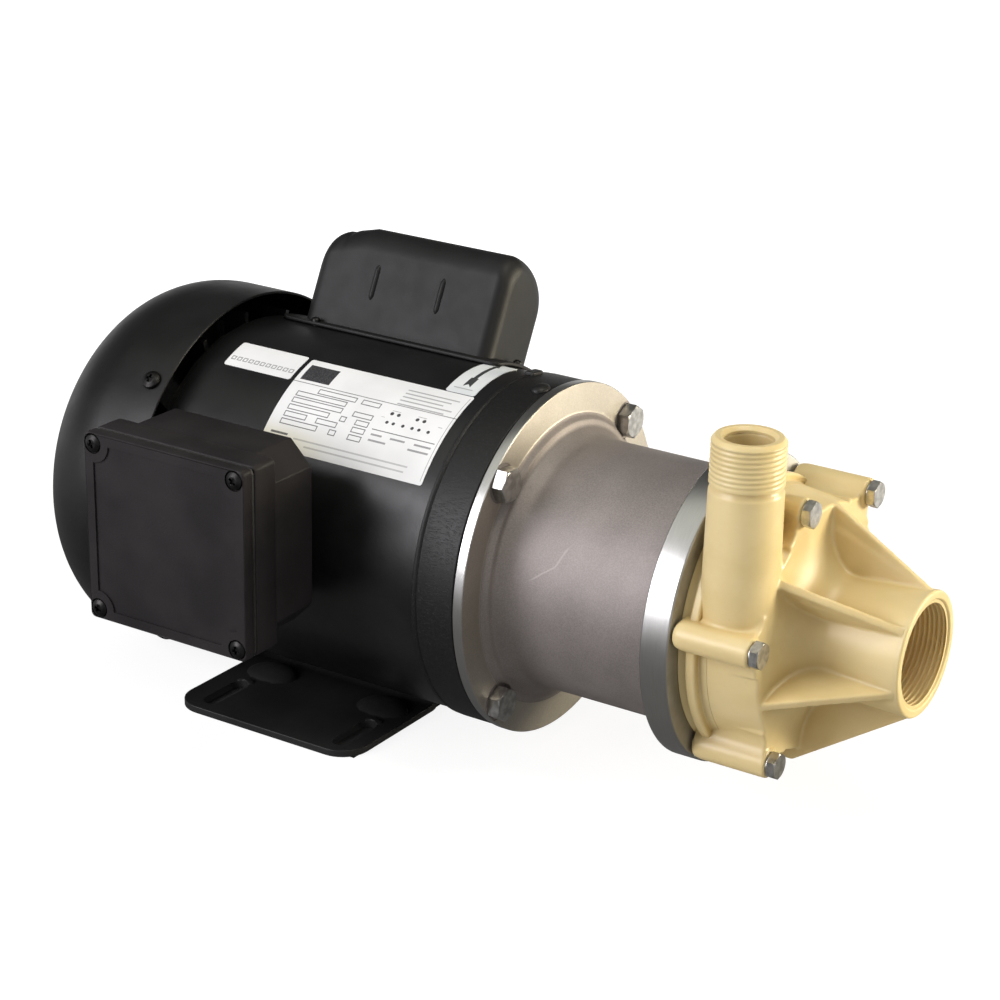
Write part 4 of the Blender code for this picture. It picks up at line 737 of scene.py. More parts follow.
def fanCover():
    s = fanCoverSizes
    outer = bow(s["shoulder"], s["flat"], s["shoulder"] - s["rear"], s["radius"] - s["flat"], 90.0, 180.0, 20)
    t = s["wall"]
    inner = bow(s["shoulder"], s["flat"], s["shoulder"] - s["rear"] - t, s["radius"] - s["flat"] - t, 180.0,
                90.0, 20)
    points = [(s["rear"], 0.0), (s["rear"], s["flat"] * 0.5), *reversed(outer)]
    front = filleted([(-190.0, s["radius"]), (s["front"], s["radius"], 0.6),
                      (s["front"], s["radius"] - t, 0.6),
                      (-190.0, s["radius"] - t)], False)
    points += front + list(reversed(inner)) + [(s["rear"] + t, 0.0)]
    mesh = turned(points, False, material=finishes["cover"])
    # the bottom is drawn in to a flatter curve that clears the ground
    top = layout["shaftHeight"]
    rise = s["floor"] + s["sweep"] - top
    for vertex in mesh.vertices:
        y = vertex.co.y
        z = vertex.co.z - top
        radius = math.hypot(y, z)
        if z < 0.0 and radius > s["drawnFrom"]:
            sweep = s["sweep"] - (t if radius < s["radius"] - 0.6 * t else 0.0)
            limit = rise * z / radius + math.sqrt((rise * z / radius) ** 2 + sweep ** 2 - rise ** 2)
            share = min(1.0, limit / radius)
            vertex.co.y = y * share
            vertex.co.z = top + z * share
    middle = 0.5 * (s["slotInner"] + s["slotOuter"])
    half = 0.5 * (s["slotOuter"] - s["slotInner"])
    r = 0.5 * s["slotWidth"]
    ends = [math.radians(a) for a in range(-90, 91, 22)]
    outline = [(half - r + r * math.cos(a), r * math.sin(a)) for a in ends]
    outline += [(-a, -b) for a, b in outline]
    turn = Matrix.Rotation(math.radians(90.0), 4, "Y")
    places = [spoke(s["rear"], middle, 360.0 * index / s["slots"]) @ turn for index in range(s["slots"])]
    mesh = combined(mesh, [extruded(outline, -6.0, 6.0, place) for place in places])
    return piece("fanCover", mesh, finishes["cover"], ["fan_cover"])


screwSizes = {
    "fanCover": {"radius": 4.6, "height": 2.5, "shank": 2.2, "length": 11.0, "recess": 5.0},
    "capacitor": {"radius": 2.2, "height": 2.2, "shank": 1.2, "length": 6.0, "recess": 2.6},
    "lid": {"radius": 4.2, "height": 2.3, "shank": 2.0, "length": 19.0, "recess": 4.8}}


def crossHead(radius, height, shank, length, recess):
    # a domed head with a cross recess, its shank down the local z
    dome = filleted([(height, 0.0), (height * 0.97, radius * 0.55, 2.0), (height * 0.5, radius, 1.2),
                     (0.0, radius),
                     (0.0, shank), (-length, shank, 0.5), (-length - 0.6, 0.0)], False)
    mesh = turned(dome, False, 40, 0.0)
    mesh.transform(Matrix.Rotation(-math.pi / 2.0, 4, "Y"))
    arms = []
    for turn in (0.0, 90.0):
        size = recess * 0.5
        thin = recess * 0.13
        arm = extruded([(-size, -thin), (size, -thin), (size, thin), (-size, thin)], height - 1.3,
                       height + 1.0)
        for vertex in arm.vertices:
            if vertex.co.z < height:
                vertex.co.x *= 0.55
        arm.transform(Matrix.Rotation(math.radians(turn), 4, "Z"))
        arms.append(arm)
    return combined(mesh, arms)


def hexHead(flats, height, shank, length, collar=0.0):
    # a chamfered hexagon head, its face up the local z, its shank below
    steps = 72
    inner = 0.5 * flats * 0.985
    rows = []
    for share in (0.0, 0.55, 0.9, 1.0):
        rows.append([(inner * share, height - (0.12 if share < 0.5 else 0.0))] * steps)
    corner = []
    for k in range(steps):
        angle = 2.0 * math.pi * k / steps
        turn = (angle + math.pi / 6.0) % (math.pi / 3.0) - math.pi / 6.0
        corner.append(0.5 * flats / math.cos(turn))
    rows.append([(r - 0.12, height - (r - inner) * 0.5) for r in corner])
    rows.append([(r, height - (r - inner) * 0.5 - 0.14) for r in corner])
    rows.append([(r, collar + 0.1) for r in corner])
    rows.append([(r - 0.12, collar) for r in corner])
    if collar:
        rows.append([(0.49 * flats, collar)] * steps)
        rows.append([(0.49 * flats, 0.0)] * steps)
    rows.append([(shank, 0.0)] * steps)
    rows.append([(shank, -length)] * steps)
    rows.append([(0.0, -length)] * steps)
    points = []
    for row in rows:
        for k, (radius, z) in enumerate(row):
            angle = 2.0 * math.pi * k / steps
            points.append((radius * math.cos(angle), radius * math.sin(angle), z))
    return outward(meshOf("hexHead", points, ringFaces(len(rows), steps)))


def fastened(name, mesh, finish, nodes, radius, along, first):
    # one fastener copied about the shaft by the ring tree
    model = linked(name + "Model", mesh)
    result = ringOf.run(meshOf("seed", [(0.0, 0.0, 0.0)], []), **{
        "Fastener": model, "Material": finish, "Count": len(nodes), "Radius": radius, "Along": along,
        "First Angle": math.radians(first)})
    bpy.data.objects.remove(model, do_unlink=True)
    return piece(name, outward(result), finish, nodes, crease=30.0)


axial = Matrix.Rotation(math.pi / 2.0, 4, "Y")


fanScrew = {"circle": 92.8, "along": -180.6, "first": 45.0, "deeper": 2.5}


def fanCoverScrews():
    s = fanScrew
    item = fastened("fanCoverScrews", crossHead(**screwSizes["fanCover"]), finishes["screw"],
                    numbered("fan_cover_screw", 4), s["circle"], s["along"], s["first"])
    # the lower two sit deeper, where the cover is drawn in
    centre = toFrame @ Vector((0.0, 0.0, layout["shaftHeight"]))
    for vertex in item.data.vertices:
        if vertex.co.z < centre.z:
            side = 1.0 if vertex.co.y > centre.y else -1.0
            vertex.co += Vector((0.0, -side, 1.0)) * s["deeper"] * millimetre
    return item


flangeBolt = {"flats": 14.3, "height": 5.8, "radius": 4.6, "length": 18.0, "circle": 74.6, "face": 5.2,
              "first": 45.0, "turn": 12.0}


def flangeBolts():
    s = flangeBolt
    mesh = hexHead(s["flats"], s["height"], s["radius"], s["length"])
    mesh.transform(axial @ Matrix.Rotation(math.radians(s["turn"]), 4, "Z"))
    return fastened("flangeBolts", mesh, finishes["bolt"], numbered("flange_bolt", 4),
                    s["circle"], s["face"], s["first"])


housingBolt = {"flats": 11.1, "height": 4.4, "radius": 3.1, "length": 47.0, "circle": 64.5, "face": 138.5,
               "first": -20.8, "turn": 8.0, "reach": 9.0}


def housingBolts():
    s = housingBolt
    mesh = hexHead(s["flats"], s["height"], s["radius"], s["length"], 0.5)
    mesh.transform(axial @ Matrix.Rotation(math.radians(s["turn"]), 4, "Z"))
    item = fastened("housingBolts", mesh, finishes["bolt"], numbered("housing_bolt", 6),
                    s["circle"], s["face"], s["first"])
    # one boss on the far side is shorter, and its bolt sits back with it
    for angle, short in zip(housing["bolts"], housing["short"]):
        centre = toFrame @ around(s["face"], s["circle"], angle)
        for vertex in item.data.vertices:
            if math.hypot(vertex.co.y - centre.y, vertex.co.z - centre.z) < s["reach"] * millimetre:
                vertex.co.x -= short * millimetre
    return item


adapter = {"flange": 82.55, "rear": 0.3, "face": 5.2, "collar": 68.0, "collarFace": 7.8, "fillet": 9.0,
           "barrel": 58.7,
           "ringRear": 87.8, "ringFront": 101.2, "ring": 70.8, "bore": 52.5, "spot": 9.2}


def pumpAdapter():
    s = adapter
    points = filleted([
        (s["rear"], 57.5), (s["rear"], s["flange"], 0.5), (s["face"], s["flange"], 0.5),
        (s["face"], s["collar"], 3.4), (s["collarFace"], s["collar"] - 2.4, 2.4),
        (s["collarFace"] + 0.4, s["barrel"] + 4.2, 4.5),
        (s["collarFace"] + 7.0, s["barrel"], s["fillet"]), (s["ringRear"], s["barrel"] - 0.1, 1.6),
        (s["ringRear"], s["ring"], 0.8),
        (s["ringFront"], s["ring"], 0.8), (s["ringFront"], 57.8), (96.9, 57.8), (96.9, s["bore"]),
        (4.3, s["bore"]), (4.3, 57.5)])
    mesh = turned(points, material=finishes["adapter"])
    pads = []
    for angle in (45.0, 135.0, 225.0, 315.0):
        # a milled seat, cut into the collar and the flange
        pad = turned([(4.9, 0.0), (4.9, s["spot"]), (30.0, s["spot"]), (30.0, 0.0)], False, 64, 0.0)
        pad.transform(Matrix.Translation(around(0.0, flangeBolt["circle"], angle)))
        pads.append(pad)
    mesh = combined(mesh, pads)
    return piece("pumpAdapter", mesh, finishes["adapter"], ["pump_adapter"])


capCover = {"lean": 26.0, "rear": -157.5, "front": -50.0, "width": 39.0, "top": 131.0, "foot": 68.0,
            "crown": -8.0,
            "nearDrop": 13.0, "farDrop": 19.0, "sideRound": 7.0, "rearRound": 14.0, "frontRound": 8.0,
            "droop": 3.0,
            "droopFrom": -133.0, "droopTo": -145.0, "notch": 0.7, "flangeReach": 9.0, "flangeHalf": 24.3,
            "sideScrewX": -146.5, "sideScrew": 21.8, "beads": (-121.5, -84.0), "beadLow": 95.0,
            "beadHigh": 113.0,
            "beadHalf": 1.5, "flangeTop": 82.7, "screwSeat": 82.5, "endScrew": 5.0}


def leaning():
    # the capacitor cover's own frame: a across, b out from the shaft, c along it
    turn = Matrix.Rotation(-math.radians(capCover["lean"]), 4, "X")
    return Matrix.Translation((0.0, 0.0, layout["shaftHeight"])) @ turn @ alongShaft


def shellStrip(left, right, low, high, inner, outer, steps, corner):
    # a thin curved plate on the shell between two angles, with rounded plan corners
    reach = math.radians(high - low) * inner
    width = right - left
    plan = filleted([(0, 0, corner), (width, 0, corner), (width, reach, corner), (0, reach, corner)],
                    turnStep=15.0)
    work = bmesh.new()
    flat = [work.verts.new((u, v, 0.0)) for u, v in plan]
    work.faces.new(flat)
    cuts = [((0.0, reach * k / steps, 0.0), (0.0, 1.0, 0.0)) for k in range(1, steps)]
    cuts.append(((0.5 * width, 0.0, 0.0), (1.0, 0.0, 0.0)))
    for spot, normal in cuts:
        bmesh.ops.bisect_plane(work, geom=work.verts[:] + work.edges[:] + work.faces[:],
                               plane_co=spot, plane_no=normal)
    top = bmesh.ops.extrude_face_region(work, geom=work.faces[:])
    for item in top["geom"]:
        if isinstance(item, bmesh.types.BMVert):
            item.co.z = outer - inner
    for vert in work.verts:
        angle = low + math.degrees(vert.co.y / inner)
        vert.co = around(left + vert.co.x, inner + vert.co.z, angle)
    bmesh.ops.recalc_face_normals(work, faces=work.faces)
    mesh = bpy.data.meshes.new("strip")
    work.to_mesh(mesh)
    work.free()
    return mesh


def roundedOver(radius, depth):
    # how far an edge of this radius stands back at a depth behind the end face
    return radius - math.sqrt(radius ** 2 - max(radius - depth, 0.0) ** 2)


def capacitorCover():
    s = capCover
    half = 0.5 * s["width"]
    length = s["front"] - s["rear"]
    stations = [s["rearRound"] * (1.0 - math.cos(math.radians(6.0 * k))) for k in range(16)]
    stations += [stations[-1] + 0.75 * k for k in range(1, 18)]
    stations += [stations[-1] + (length - 12.0 - stations[-1]) * k / 40.0 for k in range(1, 41)]
    stations += [length - s["frontRound"] * (1.0 - math.cos(math.radians(6.0 * k))) for k in range(15, -1,
                                                                                                   -1)]
    rows = []
    for d in stations:
        side = roundedOver(s["sideRound"], min(d, length - d))
        x = s["rear"] + d
        share = min(max((s["droopFrom"] - x) / (s["droopFrom"] - s["droopTo"]), 0.0), 1.0)
        dip = s["notch"] * math.exp(-((x - s["droopTo"]) / 1.6) ** 2)
        top = roundedOver(s["rearRound"], d) + roundedOver(s["frontRound"],
                                                           length - d) + s["droop"] * share + dip
        wide = half - side
        peak = s["top"] - top
        near = bow(s["crown"], peak - s["nearDrop"], wide + s["crown"], s["nearDrop"], 180.0, 90.0, 16)
        far = bow(s["crown"], peak - s["farDrop"], wide - s["crown"], s["farDrop"], 90.0, 0.0, 20)
        # the walls spread softly into the flange, which also buries the lowest edge
        walls = [(wide + 2.6 * (1.0 - k / 5.0) ** 2, s["foot"] + 3.0 * k) for k in range(6)]
        rows.append([(-a, b) for a, b in walls] + near + far[1:] + list(reversed(walls)))
    count = len(rows[0])
    points = [(a, b, s["rear"] + d) for d, row in zip(stations, rows) for a, b in row]
    faces = [tuple(range(count)), tuple(range(len(points) - count, len(points)))]
    body = meshOf("coverBody", points, faces + ringFaces(len(rows), count))
    body.transform(leaning())
    body = outward(body)
    spread = math.degrees(s["flangeHalf"] / motor["seat"])
    flange = shellStrip(s["rear"] - s["flangeReach"], s["front"] + s["flangeReach"], s["lean"] - spread,
                        s["lean"] + spread, motor["seat"], s["flangeTop"], 40, 5.0)
    flange = softened(flange, 0.85, 4, 50.0)
    beads = []
    for x in s["beads"]:
        # a pressed stiffening ridge, its ends run out into the wall
        rings = []
        for k in range(25):
            share = k / 24.0
            swell = min(1.0, 7.0 * min(share, 1.0 - share)) ** 0.5
            b = s["beadLow"] + (s["beadHigh"] - s["beadLow"]) * share
            out = s["beadHalf"] * swell
            breadth = s["beadHalf"] * max(swell, 0.2)
            turns = [math.radians(t) for t in range(0, 181, 15)]
            rings.append([(-half + 0.4 - out * math.sin(t), b, x + breadth * math.cos(t)) for t in turns])
        size = len(rings[0])
        spots = [spot for ring in rings for spot in ring]
        sides = [(r * size + k, r * size + k + 1, (r + 1) * size + k + 1, (r + 1) * size + k)
                 for r in range(len(rings) - 1) for k in range(size - 1)]
        bead = meshOf("bead", spots, sides)
        bead.transform(leaning())
        beads.append(bead)
    mesh = joined([body, flange, *beads])
    return piece("capacitorCover", mesh, finishes["cap"], ["capacitor_cover"],
                 crease=40.0)


def capacitorScrews():
    s = capCover
    aside = math.degrees(math.asin(s["sideScrew"] / motor["radius"]))
    made = []
    for x, angle in ((s["front"] + s["endScrew"], s["lean"]), (s["rear"] - s["endScrew"], s["lean"]),
                     (s["sideScrewX"], s["lean"] - aside), (s["sideScrewX"], s["lean"] + aside)):
        screw = crossHead(**screwSizes["capacitor"])
        screw.transform(spoke(x, s["screwSeat"], angle))
        made.append(screw)
    return piece("capacitorCoverScrews", joined(made), finishes["screw"],
                 numbered("capacitor_cover_screw", 4))


conduit = {"x": -111.0, "z": 112.8, "width": 88.0, "rimFront": 133.0, "rimRear": 119.0, "rear": 92.5,
           "cut": 11.0,
           "corner": 2.6, "neck": 50.0, "neckZ": 96.0, "lidBack": 134.8, "lidFront": 141.2, "border": 5.0,
           "sunk": 0.8, "scallop": 8.6, "screwInset": 5.0, "seat": 4.7, "seatDepth": 1.2, "screwDepth": 1.3}


def square(width, corner):
    # a rounded square about the box's middle
    half = 0.5 * width
    x = conduit["x"]
    z = conduit["z"]
    plan = [(x - half, z - half, corner), (x + half, z - half, corner), (x + half, z + half, corner),
            (x - half, z + half, corner)]
    return filleted(plan, turnStep=11.0)


def conduitBox():
    s = conduit
    rim = softened(extruded(square(s["width"], s["corner"]), s["rimRear"], s["rimFront"], towardsNear), 0.8,
                   3)
    half = 0.5 * (s["width"] - 1.0)
    c = s["cut"]
    plan = []
    for sx, sz, flip in ((-1, -1, 0), (1, -1, 1), (1, 1, 0), (-1, 1, 1)):
        a = (s["x"] + sx * half, s["z"] + sz * (half - c), 1.5)
        b = (s["x"] + sx * (half - c), s["z"] + sz * half, 1.5)
        plan += [b, a] if flip else [a, b]
    plan = filleted(plan)
    body = softened(extruded(plan, s["rear"], s["rimRear"] + 3.0, towardsNear), 1.2, 3)
    h = 0.5 * s["neck"]
    neck = extruded(filleted([(s["x"] - h, s["neckZ"] - h, 3.0), (s["x"] + h, s["neckZ"] - h, 3.0),
                              (s["x"] + h, s["neckZ"] + h, 3.0), (s["x"] - h, s["neckZ"] + h, 3.0)]),
                    66.0, s["rear"] + 2.0, towardsNear)
    seat = motor["seat"]
    saddle = turned([(-200.0, 0.0), (-200.0, seat), (-40.0, seat), (-40.0, 0.0)], False, 128)
    neck = combined(neck, [saddle])
    mesh = joined([rim, body, neck])
    return piece("conduitBox", outward(mesh), finishes["box"], ["conduit_box"],
                 crease=40.0)


def conduitLid():
    # a flat lid with a shallow sunk panel that swings round the screws
    s = conduit
    base = softened(extruded(square(s["width"], s["corner"]), s["lidBack"], s["lidFront"], towardsNear), 0.8,
                    3)
    reach = 0.5 * s["width"] - s["screwInset"]
    corners = [(s["x"] + sx * reach, s["z"] + sz * reach) for sx in (-1, 1) for sz in (-1, 1)]
    panel = extruded(square(s["width"] - 2.0 * s["border"], 1.2), s["lidFront"] - s["sunk"],
                     s["lidFront"] + 6.0, towardsNear)
    rounds = [extruded(disc(x, z, s["scallop"], 64), 120.0, 160.0, towardsNear) for x, z in corners]
    mesh = combined(base, [combined(panel, rounds)])
    seats = [extruded(disc(x, z, s["seat"], 40), s["lidFront"] - s["seatDepth"], 160.0, towardsNear)
             for x, z in corners]
    mesh = combined(mesh, seats)
    return piece("conduitLid", outward(mesh), finishes["box"], ["conduit_cover"],
                 crease=28.0)


def conduitScrews():
    s = conduit
    reach = 0.5 * s["width"] - s["screwInset"]
    made = []
    for sx, sz, recessTurn in ((-1, 1, 20.0), (1, 1, 52.0), (1, -1, 8.0), (-1, -1, 71.0)):
        screw = crossHead(**screwSizes["lid"])
        turn = Matrix.Rotation(math.radians(recessTurn), 4, "Z")
        place = Matrix.Translation((s["x"] + sx * reach, s["screwDepth"] - s["lidFront"],
                                    s["z"] + sz * reach))
        screw.transform(place @ Matrix.Rotation(math.pi / 2.0, 4, "X") @ turn)
        made.append(screw)
    return piece("conduitLidScrews", joined(made), finishes["screw"],
                 numbered("conduit_cover_screw", 4))


foot = {"x": -105.7, "length": 108.0, "width": 165.0, "thickness": 3.5, "corner": 14.0, "bend": 16.5,
        "reach": 10.0,
        "pitchX": 76.2, "pitchY": 123.8, "slotLength": 29.0, "slotWidth": 9.0, "dimpleX": (-33.0, 33.0),
        "dimpleY": 33.5, "dimpleZ": 2.4, "dimpleLean": 12.0, "dimple": (14.0, 11.0, 4.6), "lowest": 0.6,
        "lip": (5.0, 3.4, 1.6), "cutRear": 54.0, "cutFront": 50.6}


def motorFoot():
    s = foot
    inner = motor["seat"]
    outer = inner + s["thickness"]
    top = layout["shaftHeight"]
    reach = math.degrees(math.asin(s["reach"] / inner))
    half = 0.5 * s["width"]
    t = s["thickness"]
    arc = [math.radians(-reach + 2.0 * reach * k / 36) for k in range(37)]
    cradle = [(inner * math.sin(a), top - inner * math.cos(a)) for a in arc]
    under = [(outer * math.sin(a), top - outer * math.cos(a)) for a in arc]
    under = [(y, z) for y, z in under if abs(y) < s["reach"] - 1.0]
    upper = [(-half, t), (-s["bend"], t, 6.0), *cradle, (s["bend"], t, 6.0), (half, t)]
    lower = [(half, 0.0), (s["bend"] - 3.5, 0.0, 5.0), *reversed(under), (3.5 - s["bend"], 0.0, 5.0),
             (-half, 0.0)]
    mesh = extruded(filleted(upper, False) + filleted(lower, False), s["x"] - 0.5 * s["length"],
                    s["x"] + 0.5 * s["length"],
                    alongShaft)
    rear = s["x"] - s["cutRear"]
    front = s["x"] + s["cutFront"]
    r = s["corner"]
    plan = filleted([(rear, -half, r), (front, -half, r), (front, half, r), (rear, half, r)])
    mesh = combined(mesh, [extruded(plan, -5.0, 120.0)], "INTERSECT")
    slots = []
    swells = []
    for sx in (-1, 1):
        for sy in (-1, 1):
            x = s["x"] + 0.5 * sx * s["pitchX"]
            y = 0.5 * sy * s["pitchY"]
            r = 0.5 * s["slotWidth"]
            h = 0.5 * s["slotLength"] - r
            oval = bow(x, y + h, r, r, 0.0, 180.0, 18) + bow(x, y - h, r, r, 180.0, 360.0, 18)
            slots.append(extruded(oval, -5.0, 20.0))
            # the metal pushed up at the slot's inner end
            inward = y - sy * (0.5 * s["slotLength"] + 1.2)
            swells.append(mound(Matrix.Translation((x, inward, t - 0.4)), s["lip"]))
    for x in s["dimpleX"]:
        for sy in (-1, 1):
            # the broad swelling pressed into each bend, kept clear of the ground
            slope = Matrix.Rotation(math.radians(-s["dimpleLean"] * sy), 4, "X")
            swell = mound(Matrix.Translation((s["x"] + x, s["dimpleY"] * sy, s["dimpleZ"])) @ slope,
                          s["dimple"])
            for vertex in swell.vertices:
                vertex.co.z = max(vertex.co.z, s["lowest"])
            swells.append(swell)
    mesh = softened(mesh, 0.9, 3, 40.0)
    mesh = joined([mesh, *swells])
    mesh = combined(mesh, slots)
    return piece("motorFoot", outward(mesh), finishes["foot"], ["motor_foot"],
                 crease=40.0, level=True)


housing = {
    "bolts": (-80.8, -20.8, 39.2, 99.2, 159.2, -140.8), "short": (0.0, 0.0, 0.0, 0.0, 7.5, 0.0),
    "ribReach": (54.6, 55.4, 55.4, 55.4, 62.2, 54.8), "ribCorner": (138.0, 138.0, 138.0, 138.0, 134.0, 138.0),
    "circle": 64.5, "boss": 6.6, "bossRear": 101.7, "bossFront": 138.2, "drum": 56.0, "webFillet": 7.0,
    "ribHalf": 1.9, "ribRootHalf": 3.0, "grain": 0.74, "smoothing": 5,
    "pipeX": 120.8, "pipeY": -45.0, "pipe": 16.1, "pipeFootRadius": 17.0, "pipeTop": 186.3, "pipeFoot": 97.5,
    "bore": 10.6,
    "threadTop": 184.2, "threadLength": 18.2, "pitch": 2.21, "threadDepth": 0.3, "suctionLength": 23.0,
    "rim": 28.5, "triangles": 80000}


def plate(points, halves, place):
    # a flat rib whose thickness changes from point to point
    return prism([(a, b, side * h) for side in (1, -1) for (a, b), h in zip(points, halves)], place)


def frontHousing():
    s = housing
    upended = Matrix(((1, 0, 0, 0), (0, 0, 1, 0), (0, 1, 0, 0), (0, 0, 0, 1)))    # (a, b, c) to (x, z, y)
    flare = bow(154.0, 52.0, 17.0, 25.4, 270.0, 180.0, 14)
    body = turned(filleted([
        (187.3, 24.7), (187.3, s["rim"] - 0.15), (176.0, 27.7, 8.0), *flare, (137.0, 55.6, 0.8),
        (109.0, 59.3), (101.7, 60.1),
        (101.7, 48.5), (121.0, 48.5), (127.0, 42.5, 3.0), (136.5, 24.0), (140.0, 20.8), (162.6, 20.8),
        (164.6, 24.7)]), steps=128)
    pipe = turned([(s["pipeFoot"], 0.0), (s["pipeFoot"], s["pipeFootRadius"]), (163.0, s["pipe"]),
                   (164.0, 15.0),
                   (184.0, 14.6), (184.0, 0.0)], False, 96, 0.0)
    upright = Matrix.Translation((s["pipeX"], s["pipeY"], 0.0)) @ Matrix.Rotation(-math.pi / 2.0, 4, "Y")
    pipe.transform(upright)
    # the chamber is kept open where the pipe's foot reaches into it
    chamber = turned([(95.0, 0.0), (95.0, 48.5), (121.0, 48.5), (127.0, 42.5), (136.5, 24.0), (150.0, 20.8),
                      (150.0, 0.0)],
                     False, 96)
    bore = extruded(disc(s["pipeX"], s["pipeY"], s["bore"], 64), 103.0, 200.0)
    pipe = combined(pipe, [chamber])
    parts = [combined(body, [bore]), combined(pipe, [bore])]
    # each boss stands on an arm whose flanks run out into the drum
    flank = bow(s["boss"] + s["webFillet"], s["drum"] + s["webFillet"], s["webFillet"], s["webFillet"], 180.0,
                270.0, 8)
    arm = [(0.0, 52.0), (flank[-1][0], 52.0), *reversed(flank), (s["boss"], s["circle"])]
    arm += [(-a, b) for a, b in reversed(arm[1:])]
    for angle, reach, corner, short in zip(s["bolts"], s["ribReach"], s["ribCorner"], s["short"]):
        front = s["bossFront"] - short
        boss = turned(filleted([(s["bossRear"], 0.0), (s["bossRear"], s["boss"] * 0.9, 3.0),
                                (s["bossRear"] + 5.0, s["boss"], 2.0), (front, s["boss"]), (front, 0.0)],
                               False),
                      False, 48, 0.0)
        boss.transform(Matrix.Translation(around(0.0, s["circle"], angle)))
        parts.append(boss)
        web = extruded(arm, 102.6, front - 1.3, alongShaft)
        web.transform(spoke(0.0, 0.0, angle))
        parts.append(web)
        rib = plate([(108.0, reach - 2.4), (120.0, reach - 0.3), (corner, reach), (186.8, s["rim"] - 0.2),
                     (186.8, 25.6),
                     (154.0, 24.8), (142.0, 24.8), (131.0, 36.5), (121.0, 50.5), (108.0, 51.5)],
                    [s["ribHalf"]] * 4 + [s["ribRootHalf"]] * 6, upended)
        rib.transform(spoke(0.0, 0.0, angle + 30.0))
        parts.append(rib)
    hub = turned(filleted([(122.6, 5.3), (122.6, 8.6), (145.0, 8.6, 0.0), (147.0, 6.0), (147.0, 0.0),
                           (131.3, 0.0), (131.3, 5.3)],
                          False), True, 48)
    parts.append(hub)
    for k in range(3):
        vane = extruded([(134.5, 6.0), (146.0, 6.0), (146.0, 22.0), (134.5, 22.0)], -1.8, 1.8, upended)
        vane.transform(spoke(0.0, 0.0, 120.0 * (k + 0.5)))
        parts.append(vane)
    moulded = worked(joined(parts), ("REMESH", {"mode": "VOXEL", "voxel_size": s["grain"]}),
                     ("SMOOTH", {"factor": 0.5, "iterations": s["smoothing"]}))
    moulded.calc_loop_triangles()
    print("moulded", len(moulded.loop_triangles))
    share = min(1.0, s["triangles"] / len(moulded.loop_triangles))
    moulded = worked(moulded, ("DECIMATE", {"ratio": share}))
    # the crisp turned parts: locating rim and band, suction lip, both threads and the pipe's top
    rim = turned(filleted([
        (101.3, 50.0), (101.3, 61.4, 0.3), (104.0, 60.6, 1.2), (105.6, 60.6, 0.4), (105.6, 62.8, 1.3),
        (110.4, 62.8, 1.5), (110.4, 59.2, 0.8), (114.0, 58.8), (114.0, 50.0)]))
    lip = turned(filleted([(186.0, 24.9), (186.0, s["rim"] - 0.2), (188.6, s["rim"], 1.3), (188.6, 24.8, 0.9),
                           (187.0, 23.7),
                           (187.0, 24.9)]))
    inside = threading.run(bpy.data.meshes.new("seed"), **{
        "Radius": 22.7, "Back": 25.4, "Depth": -1.1, "Pitch": s["pitch"], "Length": s["suctionLength"],
        "Taper": 0.02,
        "Rows": 130, "Steps": 144, "Start Fade": 0.8, "End Fade": 4.0, "Material": finishes["cream"]})
    inside.transform(Matrix.Translation((187.6, 0.0, layout["shaftHeight"])) @ Matrix.Rotation(-math.pi / 2.0,
                                                                                               4, "Y"))
    outside = threading.run(bpy.data.meshes.new("seed"), **{
        "Radius": s["pipe"], "Back": 13.6, "Depth": s["threadDepth"], "Pitch": s["pitch"],
        "Length": s["threadLength"],
        "Taper": 0.004, "Rows": 130, "Steps": 128, "Start Fade": 3.0, "End Fade": 0.8,
        "Material": finishes["cream"]})
    outside.transform(Matrix.Translation((s["pipeX"], s["pipeY"], s["threadTop"] - s["threadLength"])))
    crown = turned(filleted([
        (183.6, s["bore"]), (183.6, s["pipe"] - 0.2), (184.4, s["pipe"] - 0.1, 0.8),
        (s["pipeTop"], s["pipe"] - 1.7, 0.7),
        (s["pipeTop"], s["bore"] + 1.5, 0.7), (184.8, s["bore"], 0.5)]), True, 128, 0.0)
    crown.transform(upright)
    mesh = joined([moulded, rim, lip, outward(inside), outward(outside), crown])
    return piece("frontHousing", mesh, finishes["cream"], ["front_housing"],
                 crease=48.0)


nameplate = {"left": -119.2, "right": -28.8, "top": -17.0, "bottom": -53.9, "lift": 0.18}
sideLabel = {"left": -160.2, "right": -121.6, "top": -16.4, "bottom": -28.5, "lift": 0.18}
arrowLabel = {"left": -45.4, "right": -29.7, "top": 13.5, "bottom": -16.6, "lift": 0.2, "lean": 0.085}


def label(name, size, finish):
    radius = motor["radius"]
    mesh = shellStrip(size["left"], size["right"], size["bottom"], size["top"], radius, radius + size["lift"],
                      36, 1.2)
    lowest = math.radians(size["bottom"])
    for vertex in mesh.vertices:
        height = (math.atan2(vertex.co.y, vertex.co.z - layout["shaftHeight"]) - lowest) * radius
        vertex.co.x -= size.get("lean", 0.0) * height
    return piece(name, mesh, finish, crease=50.0)


def labelTop(size):
    return {"left": size["left"], "top": math.radians(size["top"]) * motor["radius"]}


